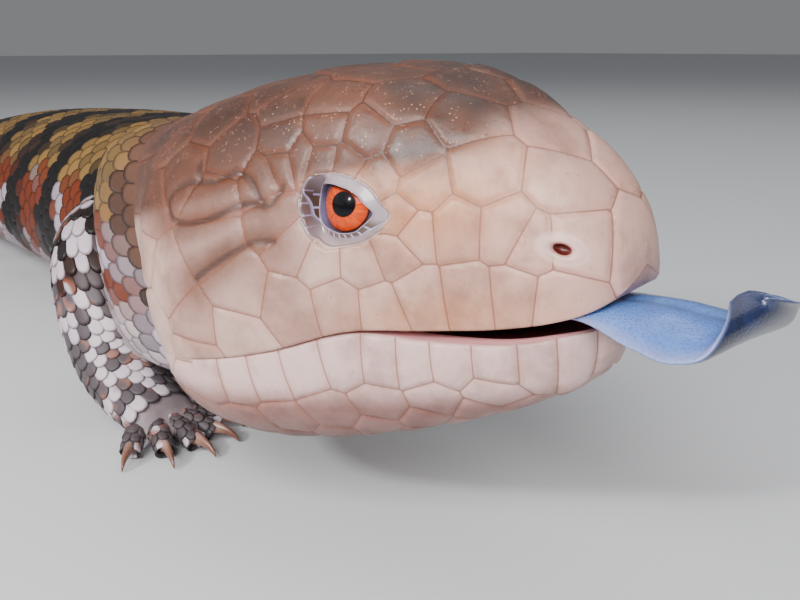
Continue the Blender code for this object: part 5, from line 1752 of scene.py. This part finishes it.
def eyeMaterial():
    look = eyeLook
    material, tree, shader = newMaterial("eyeball", look["finish"])
    x, y, _ = placeParts(tree, "eyePlace")
    radius = ovalRadius(tree, x, y, look["iris place"], look["iris half"])
    pupil = ovalRadius(tree, x, y, look["pupil place"], look["pupil half"])
    turn = sums(tree, "ARCTAN2", y, x)
    streakPlace = joinVector(tree, times(tree, sums(tree, "COSINE", turn), look["streak turn"]),
                             times(tree, sums(tree, "SINE", turn), look["streak turn"]),
                             times(tree, radius, look["streak out"]))
    streaks = fade(tree, noise(tree, streakPlace, *look["streaks"]), *look["streak fades"])
    iris = mix(tree, streaks, look["deep"], look["iris"])
    deeper = mix(tree, 0.5, iris, look["deep"])
    iris = mix(tree, fade(tree, radius, *look["deep from"]), iris, deeper)
    white = mix(tree, fade(tree, radius, *look["whites"]), look["near white"], look["white"])
    ball = mix(tree, fade(tree, radius, *look["ring from"]), iris, look["ring"])
    ball = mix(tree, fade(tree, radius, *look["white from"]), ball, white)
    ball = cover(tree, ball, fade(tree, pupil, *look["pupil edge"]), look, "pupil")
    # the upper lid's shade on the ball
    feed(tree, shader["Base Color"], cover(tree, ball, attribute(tree, "shade"), look, "shade"))
    return material


tongueLook = {
    "finish": {"Roughness": 0.26, "Coat Weight": 0.55, "Coat Roughness": 0.12, "Subsurface Weight": 0.15,
               "Subsurface Radius": (0.0015, 0.002, 0.004), "Subsurface Scale": 0.5},
    "cloud": (160.0, 3.0, 0.6), "clouds": (0.35, 0.7), "blue": "#4C72BA", "light blue": "#668ED0",
    "dots": 3600.0, "dot fades": (0.42, 0.2), "dot": "#2F4E93", "dot share": 0.6,
    "rim": "#8E8AA8", "rims": (0.86, 0.99), "rim share": 0.5,
    "tip": "#6E6C90", "tips": (0.93, 0.99), "tip share": 0.55,
    "under": (0.05, -0.35), "under dark": "#141A33", "under light": "#26335E",
    "inside": "#8A6E96", "insides": (0.62, 0.5), "inside share": 0.5,
    "bump": (0.45, 0.0002), "dot height": -0.6, "wave": (420.0, 3.0), "wave height": 0.5,
}


def tongueMaterial():
    look = tongueLook
    material, tree, shader = newMaterial("tongueFlesh", look["finish"])
    vector = objectPlace(tree)
    share, across, over = placeParts(tree, "tonguePlace")
    clouds = fade(tree, noise(tree, vector, *look["cloud"]), *look["clouds"])
    base = mix(tree, clouds, look["blue"], look["light blue"])
    dots = dotDistance(tree, vector, look["dots"])
    base = cover(tree, base, fade(tree, dots, *look["dot fades"]), look, "dot")
    base = cover(tree, base, fade(tree, sums(tree, "ABSOLUTE", across), *look["rims"]), look, "rim")
    base = cover(tree, base, fade(tree, share, *look["tips"]), look, "tip")
    underside = mix(tree, clouds, look["under dark"], look["under light"])
    base = mix(tree, fade(tree, over, *look["under"]), base, underside)
    feed(tree, shader["Base Color"], cover(tree, base, fade(tree, share, *look["insides"]), look, "inside"))
    height = plus(tree, times(tree, dots, look["dot height"]),
                  times(tree, noise(tree, vector, *look["wave"]), look["wave height"]))
    bumpInto(tree, shader, height, *look["bump"])
    return material


clawLook = {
    "finish": {"Roughness": 0.3, "Coat Weight": 0.3, "Subsurface Weight": 0.15,
               "Subsurface Radius": (0.002, 0.001, 0.0006), "Subsurface Scale": 0.4},
    "streaks": (400.0, 3.0), "streak share": 0.3, "root": "#B58D7D", "tip": "#6B4536", "tips": (0.1, 0.9),
    "bump": (0.2, 0.0001),
}


def clawMaterial():
    look = clawLook
    material, tree, shader = newMaterial("clawHorn", look["finish"])
    streak = noise(tree, objectPlace(tree), *look["streaks"])
    along = plus(tree, attribute(tree, "share"), times(tree, streak, look["streak share"]))
    feed(tree, shader["Base Color"], mix(tree, fade(tree, along, *look["tips"]), look["root"], look["tip"]))
    bumpInto(tree, shader, streak, *look["bump"])
    return material


def dress(piece, material):
    piece.data.materials.clear()
    piece.data.materials.append(material)


bodyHorn, legHorn = scaleMaterial("bodyScaleHorn", False), scaleMaterial("legScaleHorn", True)
for piece in coat:
    dress(piece, legHorn if "leg" in piece.name else bodyHorn)
dress(bodySkin, skinMaterial())
dress(headSkin, headMaterial())
lidHorn, eyeball = lidMaterial(), eyeMaterial()
for side in sides:
    dress(lids[side], lidHorn)
    dress(eyes[side], eyeball)
dress(tongueSkin, tongueMaterial())
dress(claws, clawMaterial())
print("materials made")


# the CAD parts that the new pieces replace are hidden, and the pieces hang from the root body

flesh = [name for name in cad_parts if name.startswith(("neck", "torso", "tail", "foreleg", "hindleg"))]
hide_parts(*flesh)
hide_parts("head", "jaw")
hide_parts("tongue")
for side in sides:
    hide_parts("eye_" + side)
for piece in [bodySkin, headSkin, tongueSkin, claws] + coat + list(lids.values()) + list(eyes.values()):
    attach(piece, "root")


# floor, lights and camera

stageShape = {
    "floor": 12.0, "floor colour": "#CFD0D2", "shade": "#BFC1C6", "shade share": 0.15, "shades": (3.0, 3.0),
    "finish": {"Roughness": 0.75}, "sky": "#E4E7EC", "sky strength": 0.27,
}


def makeStage():
    look = stageShape
    bpy.ops.object.select_all(action="DESELECT")
    bpy.ops.mesh.primitive_plane_add(size=look["floor"], location=(0, 0, 0))
    floor = bpy.context.active_object
    floor.name = "floor"
    material, tree, shader = newMaterial("floorPaper", look["finish"])
    shades = noise(tree, objectPlace(tree), *look["shades"])
    feed(tree, shader["Base Color"], cover(tree, look["floor colour"], shades, look, "shade"))
    dress(floor, material)
    world = bpy.data.worlds.new("studio")
    bpy.context.scene.world = world
    world.use_nodes = True
    sky = world.node_tree.nodes["Background"]
    sky.inputs["Color"].default_value = colour(look["sky"])
    sky.inputs["Strength"].default_value = look["sky strength"]


cameraShape = {
    # the camera's place in the head's frame, and the ways that its back and its top point there
    "place": (46.79, -79.46, 23.10), "back": (0.7746, -0.5843, 0.2419), "up": (-0.1928, 0.1462, 0.9703),
    "lens": 45.83, "sensor": 36.0, "near": 0.005,
}
lampShapes = {
    # place, aim, size, watts
    "key": ((0.56, -0.46, 0.40), (0.15, -0.02, 0.03), 0.36, 7.5),
    "fill": ((-0.35, -0.75, 0.45), (0.10, 0.0, 0.02), 0.8, 2.2),
    "top": ((0.05, 0.25, 0.9), (0.08, 0.0, 0.02), 0.9, 2.6),
}
sparkShape = {"distance": 260, "size": 0.024, "watts": 0.6}


def glintPlace():
    # where a lamp must stand so that the camera sees it at the glint's place on the right eye
    centre, look, forward, up = sideFrame("right")
    a, b = eyeShape["glint"]
    turn = math.degrees(math.asin(math.hypot(a, b) / eyeShape["radius"]))
    reach = corneaReach(turn)
    aside = unit(forward * a + up * b)
    spot = centre + (look * math.cos(math.radians(turn)) + aside * math.sin(math.radians(turn))) * reach
    steepness = (corneaReach(turn - 0.5) - corneaReach(turn + 0.5)) / math.radians(1.0) / reach
    tilt = math.radians(turn) + math.atan(steepness)
    normal = look * math.cos(tilt) + aside * math.sin(tilt)
    view = unit(np.array(cameraShape["place"]) - spot)
    way = 2 * (normal @ view) * normal - view
    lampSpot = spot + way * sparkShape["distance"]
    return tuple(headToWorld(lampSpot)[0] * mm), tuple(headToWorld(spot)[0] * mm)


def addLamp(name, place, aim, size, watts):
    data = bpy.data.lights.new(name, "AREA")
    data.energy, data.size = watts, size
    lamp = bpy.data.objects.new(name, data)
    lamp.location = place
    lamp.rotation_euler = (Vector(aim) - Vector(place)).to_track_quat("-Z", "Y").to_euler()
    bpy.context.scene.collection.objects.link(lamp)


def makeCamera():
    back, up = unit(cameraShape["back"]), np.array(cameraShape["up"])
    right = unit(np.cross(up, back))
    up = np.cross(back, right)
    data = bpy.data.cameras.new("camera")
    data.lens, data.sensor_width, data.clip_start = (cameraShape[key] for key in ("lens", "sensor", "near"))
    camera = bpy.data.objects.new("camera", data)
    turn = Matrix([list(row) for row in np.stack([right, up, back], axis=1)])
    camera.matrix_world = Matrix.Translation(Vector(headToWorld(cameraShape["place"])[0] * mm)) @ turn.to_4x4()
    bpy.context.scene.collection.objects.link(camera)
    bpy.context.scene.camera = camera


makeStage()
for name, lampShape in lampShapes.items():
    addLamp(name, *lampShape)
addLamp("spark", *glintPlace(), sparkShape["size"], sparkShape["watts"])
makeCamera()
print("stage, lamps and camera set")
